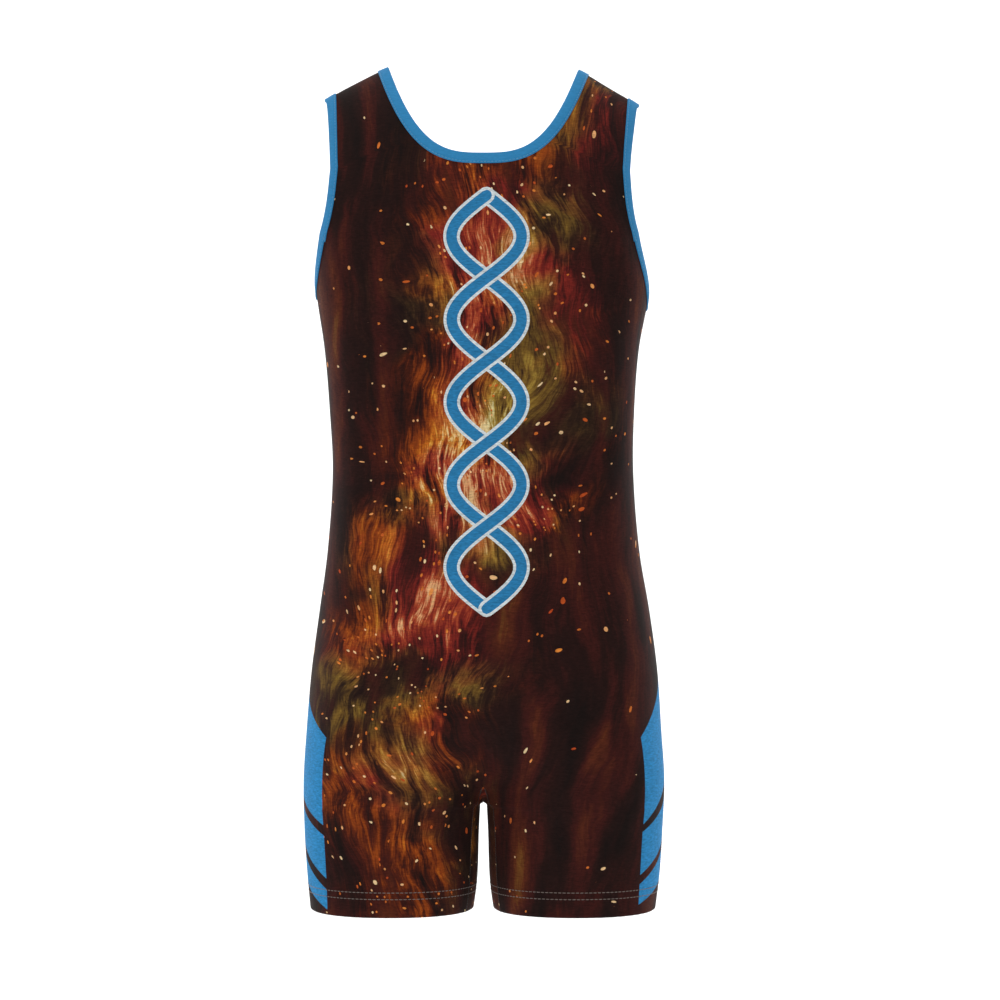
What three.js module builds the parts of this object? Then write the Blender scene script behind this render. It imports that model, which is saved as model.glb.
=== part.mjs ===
// Wrestling singlet, filled out and hollow, as it hangs from the shoulders of its wearer.
// Millimetres, +Z up. The back faces -Y, the front +Y, the wearer's left is -X.
// The origin lies midway between the straps, at the height where the shoulders bear them.
import * as THREE from 'three';

// Cloth
const CLOTH = 1.3;
const HEM_CLOTH = 2.4;
const BINDING_CLOTH = 0.9;
const BINDING_WIDTH = 10;
const BINDING_LIFT = 0.3;
const SEAM_GAP = 0.3;
const FOLD = BINDING_CLOTH + BINDING_LIFT;

// Heights of the cut. On the straps a height counts on round the shoulder up to its crest.
const HEM = -820;
const HEM_TURN_UP = 25;
const GUSSET_FLAT = -743;
const CROTCH = -714;
const GUSSET_TIP = -695;
const FORK_TOP = -600;
const WAIST = -385;
const SHOULDER_BASE = -150;
const CREST = 20;

// The body of the garment: half-widths on each hand, half-depths of back and front,
// and how square its section is (2 is an ellipse).
const BODY = [
  { height: -820, left: 172.5, right: 171.5, back: 88, front: 88, square: 2.2 },
  { height: -783, left: 176.0, right: 176.0, back: 91, front: 91, square: 2.2 },
  { height: -743, left: 178.5, right: 178.5, back: 94, front: 93, square: 2.25 },
  { height: -693, left: 179.5, right: 180.5, back: 103, front: 99, square: 2.3 },
  { height: -643, left: 176.5, right: 177.5, back: 114, front: 103, square: 2.35 },
  { height: -583, left: 171.5, right: 173.5, back: 117, front: 106, square: 2.4 },
  { height: -523, left: 163.5, right: 165.5, back: 110, front: 106, square: 2.4 },
  { height: -463, left: 155.5, right: 155.5, back: 98, front: 103, square: 2.4 },
  { height: -385, left: 150.5, right: 149.5, back: 89, front: 100, square: 2.35 },
  { height: -323, left: 153.5, right: 150.5, back: 92, front: 102, square: 2.4 },
  { height: -263, left: 158.5, right: 155.0, back: 99, front: 107, square: 2.5 },
  { height: -203, left: 167.0, right: 165.0, back: 104, front: 111, square: 2.6 },
  { height: -150, left: 170.0, right: 161.5, back: 106, front: 110, square: 2.6 },
  { height: -78, left: 169.5, right: 160.0, back: 104, front: 106, square: 2.6 },
  { height: -43, left: 167.0, right: 159.5, back: 102, front: 102, square: 2.6 },
  { height: -12, left: 168.0, right: 164.0, back: 100, front: 100, square: 2.6 },
  { height: 20, left: 172.0, right: 169.0, back: 100, front: 100, square: 2.6 },
];

// The shoulder seam, which slopes down from the neck to the tip of the shoulder.
const SHOULDER_LINE = [
  { across: 0, left: 36, right: 33 },
  { across: 60, left: 29, right: 27 },
  { across: 95, left: 18, right: 15.5 },
  { across: 127, left: 2.8, right: -2.8 },
  { across: 158, left: -13.8, right: -20.8 },
  { across: 190, left: -34, right: -42 },
];
const SHOULDER_ROLL = 2.3;

// How the seat closes over the crotch and turns into two legs.
const LEG_BLEND = 6;
const LEG_GAPS = [
  { height: -820, gap: 10 },
  { height: -803, gap: 7.5 },
  { height: -783, gap: 5.7 },
  { height: -743, gap: 4.5 },
  { height: -717, gap: 3.2 },
];
const ARCH = 3.2;

// The gusset's seam, as the share of each half leg that the gusset takes.
const GUSSET_SHARE = 0.16;
const GUSSET_CORNER = -717;
const GUSSET_POINT = 0.35;
const GUSSET_SPREAD = 2.1;

// Neck curve: lowest point, half-width at the shoulder seam and how flat its bottom is.
// turn is how far out the cut stops being a bottom and becomes the side of the neck.
const NECK_HALF = 94.5;
const NECKS = {
  back: { bottom: -76, flatness: 3.1, turn: 56 },
  front: { bottom: -150, flatness: 4.5, turn: 53 },
};

// Armhole: its lowest point, the height where its sides run straight, the share of the half
// body that it cuts away, and the turn in degrees where its bottom becomes its side.
const ARMHOLE_LOW = { left: -202, right: -213 };
const ARMHOLE_STRAIGHT = -60;
const ARMHOLE_SHARE = { back: 0.252, front: 0.285 };
const ARMHOLE_TURN = 32;
const SHOULDER_TIP = { left: 159, right: 156 };
const TIP_FLARE = 0.8;

// Where the neck's edge is looked for: how far below the shoulders, how far round its bottom's
// turn can lie, and how far round its side runs, from a share of the turn outwards.
const NECK_SEARCH = { below: 60, turn: 0.6, sideFrom: 0.8, sideTo: 0.72 };
const HALVINGS = 40;
const EDGE_STEPS = 60;

// The two corners of a binding's fold, as shares of its thickness in from its faces.
const FOLD_CORNER = 0.25;

// How finely the cloth is divided. Columns run from the centre to the armhole's turn and then,
// under the armhole, on to the side seam.
const NECK_COLUMNS = 4;
const MAIN_COLUMNS = 10;
const SIDE_COLUMNS = 3;
const SIDE_SHARE = 0.14;
const LEG_ROWS = [HEM, HEM + HEM_TURN_UP / 2, HEM + HEM_TURN_UP, HEM + HEM_TURN_UP + 1,
  -780, -765, GUSSET_FLAT, -729, GUSSET_CORNER, -709, -702, GUSSET_TIP];
const HEM_ROWS = 3;
const SEAT_ROWS = 17;
const SIDE_ROWS = 10;
const CHEST_LINE = -205;
const CHEST_ROWS = { back: 9, front: 4 };
const STRAP_ROWS = { back: 10, front: 15 };
const GUSSET_COLUMNS = 4;

// Colours
const PRINT = 0x33201a;
const BLUE = 0x347ba8;

const clamp = THREE.MathUtils.clamp;
const mix = THREE.MathUtils.lerp;
const power = (value, exponent) => Math.pow(Math.max(value, 0), exponent);
const handName = (hand) => (hand < 0 ? 'left' : 'right');
const faceName = (face) => (face < 0 ? 'back' : 'front');

// A smooth curve through one column of a table whose rows run along key.
function readTable(table, key, column, at) {
  const ascending = table[0][key] < table[table.length - 1][key];
  const rows = ascending ? table : [...table].reverse();
  const place = clamp(at, rows[0][key], rows[rows.length - 1][key]);
  let i = 0;
  while (i < rows.length - 2 && place > rows[i + 1][key]) i += 1;
  const slope = (k) => {
    const before = rows[Math.max(k - 1, 0)];
    const after = rows[Math.min(k + 1, rows.length - 1)];
    return (after[column] - before[column]) / (after[key] - before[key]);
  };
  const span = rows[i + 1][key] - rows[i][key];
  const t = (place - rows[i][key]) / span;
  const rise = t * t * (3 - 2 * t);
  return mix(rows[i][column], rows[i + 1][column], rise)
    + span * (t * (1 - t) * (1 - t) * slope(i) - t * t * (1 - t) * slope(i + 1));
}

// Distance from the centre of a squared ellipse to its rim, in the direction (across, deep).
function rimRadius(across, deep, halfWidth, halfDepth, square) {
  const a = Math.pow(Math.abs(across) / halfWidth, square);
  const b = Math.pow(Math.abs(deep) / halfDepth, square);
  return Math.pow(a + b, -1 / square);
}

// Half-depth of a squared ellipse at a distance across from its centre.
function rimDepth(across, halfWidth, halfDepth, square) {
  return halfDepth * power(1 - Math.pow(Math.abs(across) / halfWidth, square), 1 / square);
}

// Half the gap between the legs, with its rounded top under the crotch.
function halfGap(height) {
  if (height >= CROTCH) return 0;
  const fall = Math.min((CROTCH - height) / ARCH, 1);
  return Math.sqrt(1 - (1 - fall) * (1 - fall)) * readTable(LEG_GAPS, 'height', 'gap', height);
}

// A point of the cloth's outer surface.
// face is -1 on the back and 1 on the front, hand is -1 on the left and 1 on the right.
// around runs from 0 at the centre or inner leg to 1 at the side seam, up is the height.
function clothPoint(face, hand, around, up) {
  if (up > CREST) return clothPoint(-face, hand, around, 2 * CREST - up);
  if (around > 1) return clothPoint(-face, hand, 2 - around, up);
  if (around < 0 && up > CROTCH) return clothPoint(face, -hand, -around, up);
  if (around < 0) return clothPoint(-face, hand, -around, up);
  const halfWidth = readTable(BODY, 'height', handName(hand), up);
  const halfDepth = readTable(BODY, 'height', faceName(face), up);
  const square = readTable(BODY, 'height', 'square', up);
  const turn = around * Math.PI / 2;
  const radius = rimRadius(Math.sin(turn), Math.cos(turn), halfWidth, halfDepth, square);
  let x = radius * Math.sin(turn);
  let y = radius * Math.cos(turn);
  let z = up;
  if (up < FORK_TOP) {
    const gap = halfGap(up);
    const legHalf = (halfWidth - gap) / 2;
    const legCentre = (halfWidth + gap) / 2;
    const legTurn = around * Math.PI;
    const legRadius = rimRadius(Math.cos(legTurn), Math.sin(legTurn), legHalf, halfDepth, square);
    const legX = legCentre - legRadius * Math.cos(legTurn);
    const fork = clamp((FORK_TOP - up) / (FORK_TOP - CROTCH), 0, 1);
    x = mix(x, legX, THREE.MathUtils.smoothstep(fork, 0, 1));
    const closing = Math.sqrt(1 - fork * fork);
    const bodyAtLeg = rimDepth(legCentre, halfWidth, halfDepth, square);
    const wanted = mix(bodyAtLeg, halfDepth, fork);
    const left = Math.pow(wanted, LEG_BLEND) - Math.pow(closing * bodyAtLeg, LEG_BLEND);
    const legDepth = power(left, 1 / LEG_BLEND);
    const seat = closing * rimDepth(x, halfWidth, halfDepth, square);
    const leg = rimDepth(x - legCentre, legHalf, legDepth, square);
    y = up > CROTCH
      ? power(Math.pow(seat, LEG_BLEND) + Math.pow(leg, LEG_BLEND), 1 / LEG_BLEND)
      : legRadius * Math.sin(legTurn);
  }
  if (up > SHOULDER_BASE) {
    const roll = (up - SHOULDER_BASE) / (CREST - SHOULDER_BASE) * Math.PI / 2;
    const rise = readTable(SHOULDER_LINE, 'across', handName(hand), x) - SHOULDER_BASE;
    const reach = rimRadius(Math.cos(roll), Math.sin(roll), y, rise, SHOULDER_ROLL);
    y = reach * Math.cos(roll);
    z = SHOULDER_BASE + reach * Math.sin(roll);
  }
  return new THREE.Vector3(hand * x, face * y, z);
}

// How the cloth runs at a point: its directions along around and up, and its outward normal.
function clothFrame(face, hand, around, up) {
  const stepAround = 0.004;
  const stepUp = 0.5;
  const alongAround = clothPoint(face, hand, around + stepAround, up)
    .sub(clothPoint(face, hand, around - stepAround, up)).divideScalar(2 * stepAround);
  const alongUp = clothPoint(face, hand, around, up + stepUp)
    .sub(clothPoint(face, hand, around, up - stepUp)).divideScalar(2 * stepUp);
  const normal = alongAround.clone().cross(alongUp).multiplyScalar(-face * hand).normalize();
  return { alongAround, alongUp, normal };
}

// The place a given distance from an edge, square to it. Places and the edge's direction are
// pairs { around, up }; cloth is 1 where the cloth lies left of that direction, -1 right of it.
function insetPlace(face, hand, place, along, distance, cloth) {
  const frame = clothFrame(face, hand, place.around, place.up);
  const edge = frame.alongAround.clone().multiplyScalar(along.around)
    .addScaledVector(frame.alongUp, along.up);
  const around = -frame.alongUp.dot(edge);
  const up = frame.alongAround.dot(edge);
  const inward = frame.alongAround.clone().multiplyScalar(around).addScaledVector(frame.alongUp, up);
  const scale = cloth * distance / inward.length();
  return { around: place.around + around * scale, up: place.up + up * scale };
}

// Places evenly spaced along a finely drawn edge.
function spacePlaces(face, hand, fine, count) {
  const lengths = [0];
  for (let i = 1; i < fine.length; i += 1) {
    const before = clothPoint(face, hand, fine[i - 1].around, fine[i - 1].up);
    const here = clothPoint(face, hand, fine[i].around, fine[i].up);
    lengths.push(lengths[i - 1] + before.distanceTo(here));
  }
  const total = lengths[lengths.length - 1];
  const places = [];
  for (let k = 0; k <= count; k += 1) {
    const want = total * k / count;
    let i = 0;
    while (i < lengths.length - 2 && lengths[i + 1] < want) i += 1;
    const t = (want - lengths[i]) / (lengths[i + 1] - lengths[i]);
    places.push({
      around: mix(fine[i].around, fine[i + 1].around, t),
      up: mix(fine[i].up, fine[i + 1].up, t),
    });
  }
  return places;
}

// The places one binding width in from an edge.
function insetEdge(face, hand, edge, distance, cloth) {
  return edge.map((place, i) => {
    const before = edge[Math.max(i - 1, 0)];
    const after = edge[Math.min(i + 1, edge.length - 1)];
    const along = { around: after.around - before.around, up: after.up - before.up };
    return insetPlace(face, hand, place, along, distance, cloth);
  });
}

// Finds where a rising measure passes zero.
function passesZero(measure, low, high) {
  let from = low;
  let to = high;
  for (let i = 0; i < HALVINGS; i += 1) {
    const middle = (from + to) / 2;
    if (measure(middle) < 0) from = middle;
    else to = middle;
  }
  return (from + to) / 2;
}

// The raw neck edge of one half panel, from the centre to the turn and on to the shoulder seam.
function neckEdge(face, hand) {
  const { bottom, flatness, turn } = NECKS[faceName(face)];
  const half = NECK_HALF + FOLD;
  const low = bottom - FOLD;
  const crown = readTable(SHOULDER_LINE, 'across', handName(hand), half);
  const lowest = SHOULDER_BASE - NECK_SEARCH.below;
  const excess = (around, up) => {
    const point = clothPoint(face, hand, around, up);
    return point.z - low - (crown - low) * Math.pow(Math.abs(point.x) / half, flatness);
  };
  const turnAround = passesZero((around) => {
    const up = passesZero((height) => excess(around, height), lowest, CREST);
    return Math.abs(clothPoint(face, hand, around, up).x) - turn;
  }, 0, NECK_SEARCH.turn);
  const bottomFine = [];
  for (let k = 0; k <= EDGE_STEPS; k += 1) {
    const around = turnAround * k / EDGE_STEPS;
    bottomFine.push({ around, up: passesZero((up) => excess(around, up), lowest, CREST) });
  }
  const turnUp = bottomFine[bottomFine.length - 1].up;
  const sideFine = [];
  const sideStart = turnAround * NECK_SEARCH.sideFrom;
  for (let k = 0; k <= 2 * EDGE_STEPS; k += 1) {
    const up = mix(turnUp, CREST, k / (2 * EDGE_STEPS));
    const around = passesZero((place) => -excess(place, up), sideStart, NECK_SEARCH.sideTo);
    sideFine.push({ around, up });
  }
  return {
    bottom: spacePlaces(face, hand, bottomFine, NECK_COLUMNS),
    side: spacePlaces(face, hand, sideFine, STRAP_ROWS[faceName(face)]),
  };
}

// The raw armhole edge of one half panel: its bottom, from the side seam to the turn, and its
// side, from there up to the shoulder seam.
function armholeEdge(face, hand) {
  const share = ARMHOLE_SHARE[faceName(face)];
  const low = ARMHOLE_LOW[handName(hand)] - FOLD;
  const curve = (degrees) => ({
    around: 1 - share * Math.sin(THREE.MathUtils.degToRad(degrees)),
    up: mix(ARMHOLE_STRAIGHT, low, Math.cos(THREE.MathUtils.degToRad(degrees))),
  });
  const bottomFine = [];
  for (let degrees = 0; degrees <= ARMHOLE_TURN; degrees += 1) bottomFine.push(curve(degrees));
  const sideFine = [];
  for (let degrees = ARMHOLE_TURN; degrees <= 90; degrees += 1) sideFine.push(curve(degrees));
  const tip = passesZero((around) => (
    Math.abs(clothPoint(face, hand, around, CREST).x) + FOLD - SHOULDER_TIP[handName(hand)]), 0, 1);
  for (let k = 1; k <= EDGE_STEPS; k += 1) {
    sideFine.push({
      around: mix(1 - share, tip, Math.pow(k / EDGE_STEPS, TIP_FLARE)),
      up: mix(ARMHOLE_STRAIGHT, CREST, k / EDGE_STEPS),
    });
  }
  const rows = CHEST_ROWS[faceName(face)] + STRAP_ROWS[faceName(face)];
  return {
    bottom: spacePlaces(face, hand, bottomFine, SIDE_COLUMNS),
    side: spacePlaces(face, hand, sideFine, rows),
  };
}

// Both edges with the lines one binding width inside them. middles are the two places on the
// inset line that lie beside the turn.
function edgeWithInset(face, hand, { bottom, side }, cloth) {
  const whole = [...bottom, ...side.slice(1)];
  const inset = insetEdge(face, hand, whole, BINDING_WIDTH, cloth);
  const turn = bottom.length - 1;
  return {
    bottom,
    side,
    bottomInset: inset.slice(0, turn + 1),
    sideInset: inset.slice(turn),
    middles: [mixPlace(inset[turn - 1], inset[turn], 0.5), mixPlace(inset[turn], inset[turn + 1], 0.5)],
  };
}

const mixPlace = (from, to, t) => ({ around: mix(from.around, to.around, t), up: mix(from.up, to.up, t) });

// Fills a patch between its four edges. Edges are lists of places; bottom and top run along
// the columns, left and right run up the rows.
function fillPatch(bottom, top, left, right) {
  const rows = left.length - 1;
  const columns = bottom.length - 1;
  return left.map((leftPlace, r) => bottom.map((bottomPlace, c) => {
    const u = c / columns;
    const v = r / rows;
    const share = (key) => mix(bottomPlace[key], top[c][key], v)
      + mix(leftPlace[key], right[r][key], u)
      - mix(mix(bottom[0][key], bottom[columns][key], u), mix(top[0][key], top[columns][key], u), v);
    return { around: share('around'), up: share('up') };
  }));
}

const gussetShare = (height) => GUSSET_SHARE
  * Math.pow(clamp((GUSSET_TIP - height) / (GUSSET_TIP - GUSSET_CORNER), 0, 1), GUSSET_POINT);

const COLUMNS = MAIN_COLUMNS + SIDE_COLUMNS;

// A level row from an inner place to the side seam.
function levelRow(inner, height) {
  const row = [];
  for (let c = 0; c <= COLUMNS; c += 1) {
    const share = c <= MAIN_COLUMNS
      ? (1 - SIDE_SHARE) * c / MAIN_COLUMNS
      : 1 - SIDE_SHARE * (COLUMNS - c) / SIDE_COLUMNS;
    row.push({ around: mix(inner, 1, share), up: height });
  }
  return row;
}

function placesBetween(from, to, count) {
  return Array.from({ length: count + 1 }, (unused, k) => mixPlace(from, to, k / count));
}

// The places of one half panel: rows from the hem to the shoulder seam, and columns from the
// inner leg, centre or neck out to the armhole or side. Cells inside the openings stay empty.
function halfPanelPlaces(face, hand) {
  const chestRows = CHEST_ROWS[faceName(face)];
  const strapRows = STRAP_ROWS[faceName(face)];
  const rows = LEG_ROWS.map((height) => levelRow(gussetShare(height), height));
  for (let k = 1; k <= SEAT_ROWS; k += 1) rows.push(levelRow(0, mix(GUSSET_TIP, WAIST, k / SEAT_ROWS)));
  const waistRow = rows.length - 1;
  const armholeRow = waistRow + SIDE_ROWS + 1;
  const neckRow = armholeRow + chestRows;

  const neck = edgeWithInset(face, hand, neckEdge(face, hand), -1);
  const armhole = edgeWithInset(face, hand, armholeEdge(face, hand), 1);
  neck.bottomInset[0].around = 0;
  neck.sideInset[strapRows].up = CREST;
  armhole.bottomInset[0].around = 1;
  armhole.sideInset[chestRows + strapRows].up = CREST;

  // Sides: from the waist to the row beside the armholes' bottom.
  const centreWaist = { around: 0, up: WAIST };
  const centreChest = { around: 0, up: CHEST_LINE };
  const sideTop = [
    ...placesBetween(centreChest, armhole.sideInset[0], MAIN_COLUMNS - 1),
    armhole.middles[0],
    ...armhole.bottomInset.slice(0, -1).reverse(),
  ];
  const sides = fillPatch(
    rows[waistRow],
    sideTop,
    placesBetween(centreWaist, centreChest, SIDE_ROWS),
    placesBetween({ around: 1, up: WAIST }, armhole.bottomInset[0], SIDE_ROWS),
  );
  rows.push(...sides.slice(1));

  // Chest: from that row to the row beside the neck's bottom.
  const strapColumns = MAIN_COLUMNS - 2 - NECK_COLUMNS;
  const chestTop = [
    ...neck.bottomInset.slice(0, NECK_COLUMNS),
    neck.middles[0],
    ...placesBetween(neck.sideInset[0], armhole.sideInset[chestRows - 1], strapColumns),
  ];
  const chest = fillPatch(
    sideTop.slice(0, MAIN_COLUMNS),
    chestTop,
    placesBetween(centreChest, neck.bottomInset[0], chestRows),
    [armhole.sideInset[0], armhole.middles[1], ...armhole.sideInset.slice(1, chestRows)],
  );

  // Strap: from that row to the shoulder seam.
  const strap = fillPatch(
    chestTop.slice(NECK_COLUMNS + 1),
    placesBetween(neck.sideInset[strapRows], armhole.sideInset[chestRows + strapRows], strapColumns),
    [neck.sideInset[0], neck.middles[1], ...neck.sideInset.slice(1)],
    armhole.sideInset.slice(chestRows - 1),
  );

  for (let k = 1; k <= chestRows; k += 1) rows.push([...chest[k], armhole.side[k - 1]]);
  for (let k = 0; k <= strapRows; k += 1) {
    const inner = new Array(NECK_COLUMNS).fill(null);
    rows.push([...inner, neck.side[k], ...strap[k + 1], armhole.side[chestRows + k]]);
  }
  neck.bottom.forEach((place, c) => { rows[neckRow][c] = place; });
  armhole.bottom.forEach((place, k) => { rows[armholeRow][COLUMNS - k] = place; });
  return { places: rows, armholeRow, neckRow, neck, armhole };
}

// One wall of cloth. Corners are shared by name, so two halves join where their names agree.
class Wall {
  constructor() {
    this.corners = new Map();
    this.quads = [];
  }

  addCorner(name, outer, normal, thickness) {
    if (!this.corners.has(name)) this.corners.set(name, { outer, normal, thickness });
  }

  // A quad is cut from its first corner to its third; turned starts it one corner later.
  addQuad(names, flip, turned) {
    const [a, b, c, d] = turned ? [...names.slice(1), names[0]] : names;
    this.quads.push(flip ? [a, d, c, b] : [a, b, c, d]);
  }

  // Moves a corner over the cloth towards another one, to leave half of a seam's gap.
  parts(name, towards, distance) {
    const corner = this.corners.get(name);
    const step = this.corners.get(towards).outer.clone().sub(corner.outer);
    step.addScaledVector(corner.normal, -step.dot(corner.normal)).setLength(distance);
    corner.outer = corner.outer.clone().add(step);
  }

  geometry() {
    const names = [...this.corners.keys()];
    const index = new Map(names.map((name, i) => [name, i]));
    const outer = names.map((name) => this.corners.get(name).outer);
    const inner = names.map((name) => {
      const corner = this.corners.get(name);
      return corner.outer.clone().addScaledVector(corner.normal, -corner.thickness);
    });
    const positions = [...outer, ...inner].flatMap((point) => point.toArray());
    const triangles = [];
    const edges = new Map();
    const below = names.length;
    for (const quad of this.quads) {
      const [a, b, c, d] = quad.map((name) => index.get(name));
      triangles.push(a, b, c, a, c, d);
      triangles.push(below + a, below + c, below + b, below + a, below + d, below + c);
      [[a, b], [b, c], [c, d], [d, a]].forEach(([from, to]) => {
        const twin = `${to},${from}`;
        if (edges.has(twin)) edges.delete(twin);
        else edges.set(`${from},${to}`, [from, to]);
      });
    }
    // The rim's quads are cut from their lower end outside, so that two rims along a seam agree.
    for (const [from, to] of edges.values()) {
      if (outer[from].z < outer[to].z) triangles.push(from, below + to, to, from, below + from, below + to);
      else triangles.push(from, below + from, to, to, below + from, below + to);
    }
    const geometry = new THREE.BufferGeometry();
    geometry.setAttribute('position', new THREE.Float32BufferAttribute(positions, 3));
    geometry.setIndex(triangles);
    geometry.computeVertexNormals();
    return geometry;
  }
}

const halves = {};
for (const face of [-1, 1]) {
  for (const hand of [-1, 1]) halves[`${face},${hand}`] = halfPanelPlaces(face, hand);
}

// A back or front panel: both halves joined along the centre, above the gusset's tip.
function panelWall(face) {
  const wall = new Wall();
  const tipRow = LEG_ROWS.length - 1;
  for (const hand of [-1, 1]) {
    const { places, armholeRow, neckRow } = halves[`${face},${hand}`];
    const turned = (r, c) => (r === neckRow - 1 && (c === NECK_COLUMNS - 1 || c === NECK_COLUMNS))
      || (r === neckRow && c === NECK_COLUMNS);
    const name = (r, c) => (c === 0 && r >= tipRow ? `centre ${r}` : `${hand} ${r} ${c}`);
    places.forEach((row, r) => row.forEach((place, c) => {
      if (!place) return;
      const thickness = r < HEM_ROWS ? HEM_CLOTH : CLOTH;
      const { normal } = clothFrame(face, hand, place.around, place.up);
      wall.addCorner(name(r, c), clothPoint(face, hand, place.around, place.up), normal, thickness);
    }));
    for (let r = 0; r < places.length - 1; r += 1) {
      for (let c = 0; c < COLUMNS; c += 1) {
        const corners = [[r, c], [r, c + 1], [r + 1, c + 1], [r + 1, c]];
        if (corners.every(([i, j]) => places[i][j])) {
          wall.addQuad(corners.map(([i, j]) => name(i, j)), face * hand > 0, turned(r, c));
        }
      }
    }
    for (let r = 0; r < tipRow; r += 1) wall.parts(name(r, 0), name(r, 1), SEAM_GAP / 2);
    for (let r = 0; r <= armholeRow; r += 1) wall.parts(name(r, COLUMNS), name(r, COLUMNS - 1), SEAM_GAP / 2);
    const top = places.length - 1;
    for (let c = NECK_COLUMNS; c <= MAIN_COLUMNS; c += 1) {
      wall.parts(name(top, c), name(top - 1, c), SEAM_GAP / 2);
    }
  }
  wall.parts(`centre ${tipRow}`, `centre ${tipRow + 1}`, SEAM_GAP);
  return wall;
}

// The gusset: stations from the left hem over the crotch to the right hem, and columns from
// its back seam through the inner leg to its front seam.
function gussetWall() {
  const wall = new Wall();
  const tip = LEG_ROWS.length - 1;
  const stations = [];
  for (let r = 0; r <= tip; r += 1) stations.push({ hand: -1, r });
  for (let r = tip - 1; r >= 0; r -= 1) stations.push({ hand: 1, r });
  const grid = stations.map(({ hand, r }) => {
    const seam = LEG_ROWS[r];
    const climb = clamp((GUSSET_TIP - seam) / (GUSSET_TIP - GUSSET_FLAT), 0, 1);
    const inner = seam > GUSSET_FLAT ? mix(CROTCH, GUSSET_FLAT, Math.pow(climb, GUSSET_SPREAD)) : seam;
    const line = [];
    for (let k = -GUSSET_COLUMNS; k <= GUSSET_COLUMNS; k += 1) {
      const face = k < 0 ? -1 : 1;
      const share = Math.abs(k) / GUSSET_COLUMNS;
      line.push(clothPoint(face, hand, gussetShare(seam) * share, mix(inner, seam, share * share)));
    }
    return line;
  });
  const last = 2 * GUSSET_COLUMNS;
  grid.forEach((line, s) => line.forEach((point, k) => {
    const { hand, r } = stations[s];
    let normal;
    if (k === 0 || k === last) {
      normal = clothFrame(k === 0 ? -1 : 1, hand, gussetShare(LEG_ROWS[r]), LEG_ROWS[r]).normal;
    } else {
      const along = grid[Math.min(s + 1, grid.length - 1)][k].clone().sub(grid[Math.max(s - 1, 0)][k]);
      normal = line[k + 1].clone().sub(line[k - 1]).cross(along).normalize();
    }
    wall.addCorner(`${s} ${k}`, point, normal, r < HEM_ROWS ? HEM_CLOTH : CLOTH);
  }));
  for (let s = 0; s < grid.length - 1; s += 1) {
    for (let k = 0; k < last; k += 1) {
      const corners = [`${s} ${k}`, `${s} ${k + 1}`, `${s + 1} ${k + 1}`, `${s + 1} ${k}`];
      wall.addQuad(corners, false, (k < GUSSET_COLUMNS) === (s < tip));
    }
  }
  for (let s = 0; s < grid.length; s += 1) {
    wall.parts(`${s} 0`, `${s} 1`, SEAM_GAP / 2);
    wall.parts(`${s} ${last}`, `${s} ${last - 1}`, SEAM_GAP / 2);
  }
  return wall;
}

// One station of a binding: where it lies on the panel's edge and on its own inner line.
// along runs from 0 at the centre or side seam to 1 at the shoulder seam, and insetFirst says
// which way the panel's cell that starts here is cut.
function bindingStation(face, hand, edge, inset, along, insetFirst) {
  return {
    along,
    insetFirst,
    edge: clothPoint(face, hand, edge.around, edge.up),
    edgeNormal: clothFrame(face, hand, edge.around, edge.up).normal,
    inset: clothPoint(face, hand, inset.around, inset.up),
    insetNormal: clothFrame(face, hand, inset.around, inset.up).normal,
  };
}

// A strip folded over a panel's edge, closed into a ring. It stands clear of the panel.
function bindingGeometry(stations) {
  const nearIn = -(CLOTH + BINDING_LIFT);
  const farIn = nearIn - BINDING_CLOTH;
  const nearOut = BINDING_LIFT;
  const farOut = nearOut + BINDING_CLOTH;
  const positions = [];
  for (const { edge, edgeNormal, inset, insetNormal } of stations) {
    const out = edge.clone().sub(inset).normalize();
    const at = (base, normal, depth, reach) => positions.push(
      ...base.clone().addScaledVector(normal, depth).addScaledVector(out, reach).toArray());
    at(inset, insetNormal, farOut, 0);
    at(edge, edgeNormal, farOut, BINDING_LIFT);
    at(edge, edgeNormal, mix(farOut, farIn, FOLD_CORNER), FOLD);
    at(edge, edgeNormal, mix(farIn, farOut, FOLD_CORNER), FOLD);
    at(edge, edgeNormal, farIn, BINDING_LIFT);
    at(inset, insetNormal, farIn, 0);
    at(inset, insetNormal, nearIn, 0);
    at(edge, edgeNormal, nearIn, BINDING_LIFT);
    at(edge, edgeNormal, nearOut, BINDING_LIFT);
    at(inset, insetNormal, nearOut, 0);
  }
  const onInset = [true, false, false, false, false, true, true, false, false, true];
  const ring = onInset.length;
  const triangles = [];
  stations.forEach((station, s) => {
    const next = (s + 1) % stations.length;
    const rising = stations[next].along > station.along;
    const lower = rising ? station : stations[next];
    const insetFirst = lower.insetFirst === rising;
    for (let k = 0; k < ring; k += 1) {
      const a = s * ring + k;
      const b = s * ring + (k + 1) % ring;
      const c = next * ring + (k + 1) % ring;
      const d = next * ring + k;
      if (insetFirst === onInset[k]) triangles.push(a, b, c, a, c, d);
      else triangles.push(a, b, d, b, c, d);
    }
  });
  const geometry = new THREE.BufferGeometry();
  geometry.setAttribute('position', new THREE.Float32BufferAttribute(positions, 3));
  geometry.setIndex(triangles);
  geometry.computeVertexNormals();
  return geometry;
}

// Turns a closed surface the right way out.
function facingOut(geometry) {
  const points = geometry.getAttribute('position');
  const index = geometry.getIndex().array;
  const a = new THREE.Vector3();
  const b = new THREE.Vector3();
  const c = new THREE.Vector3();
  let volume = 0;
  for (let i = 0; i < index.length; i += 3) {
    a.fromBufferAttribute(points, index[i]);
    b.fromBufferAttribute(points, index[i + 1]);
    c.fromBufferAttribute(points, index[i + 2]);
    volume += a.dot(b.cross(c));
  }
  if (volume < 0) {
    for (let i = 0; i < index.length; i += 3) [index[i], index[i + 1]] = [index[i + 1], index[i]];
    geometry.computeVertexNormals();
  }
  return geometry;
}

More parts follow.
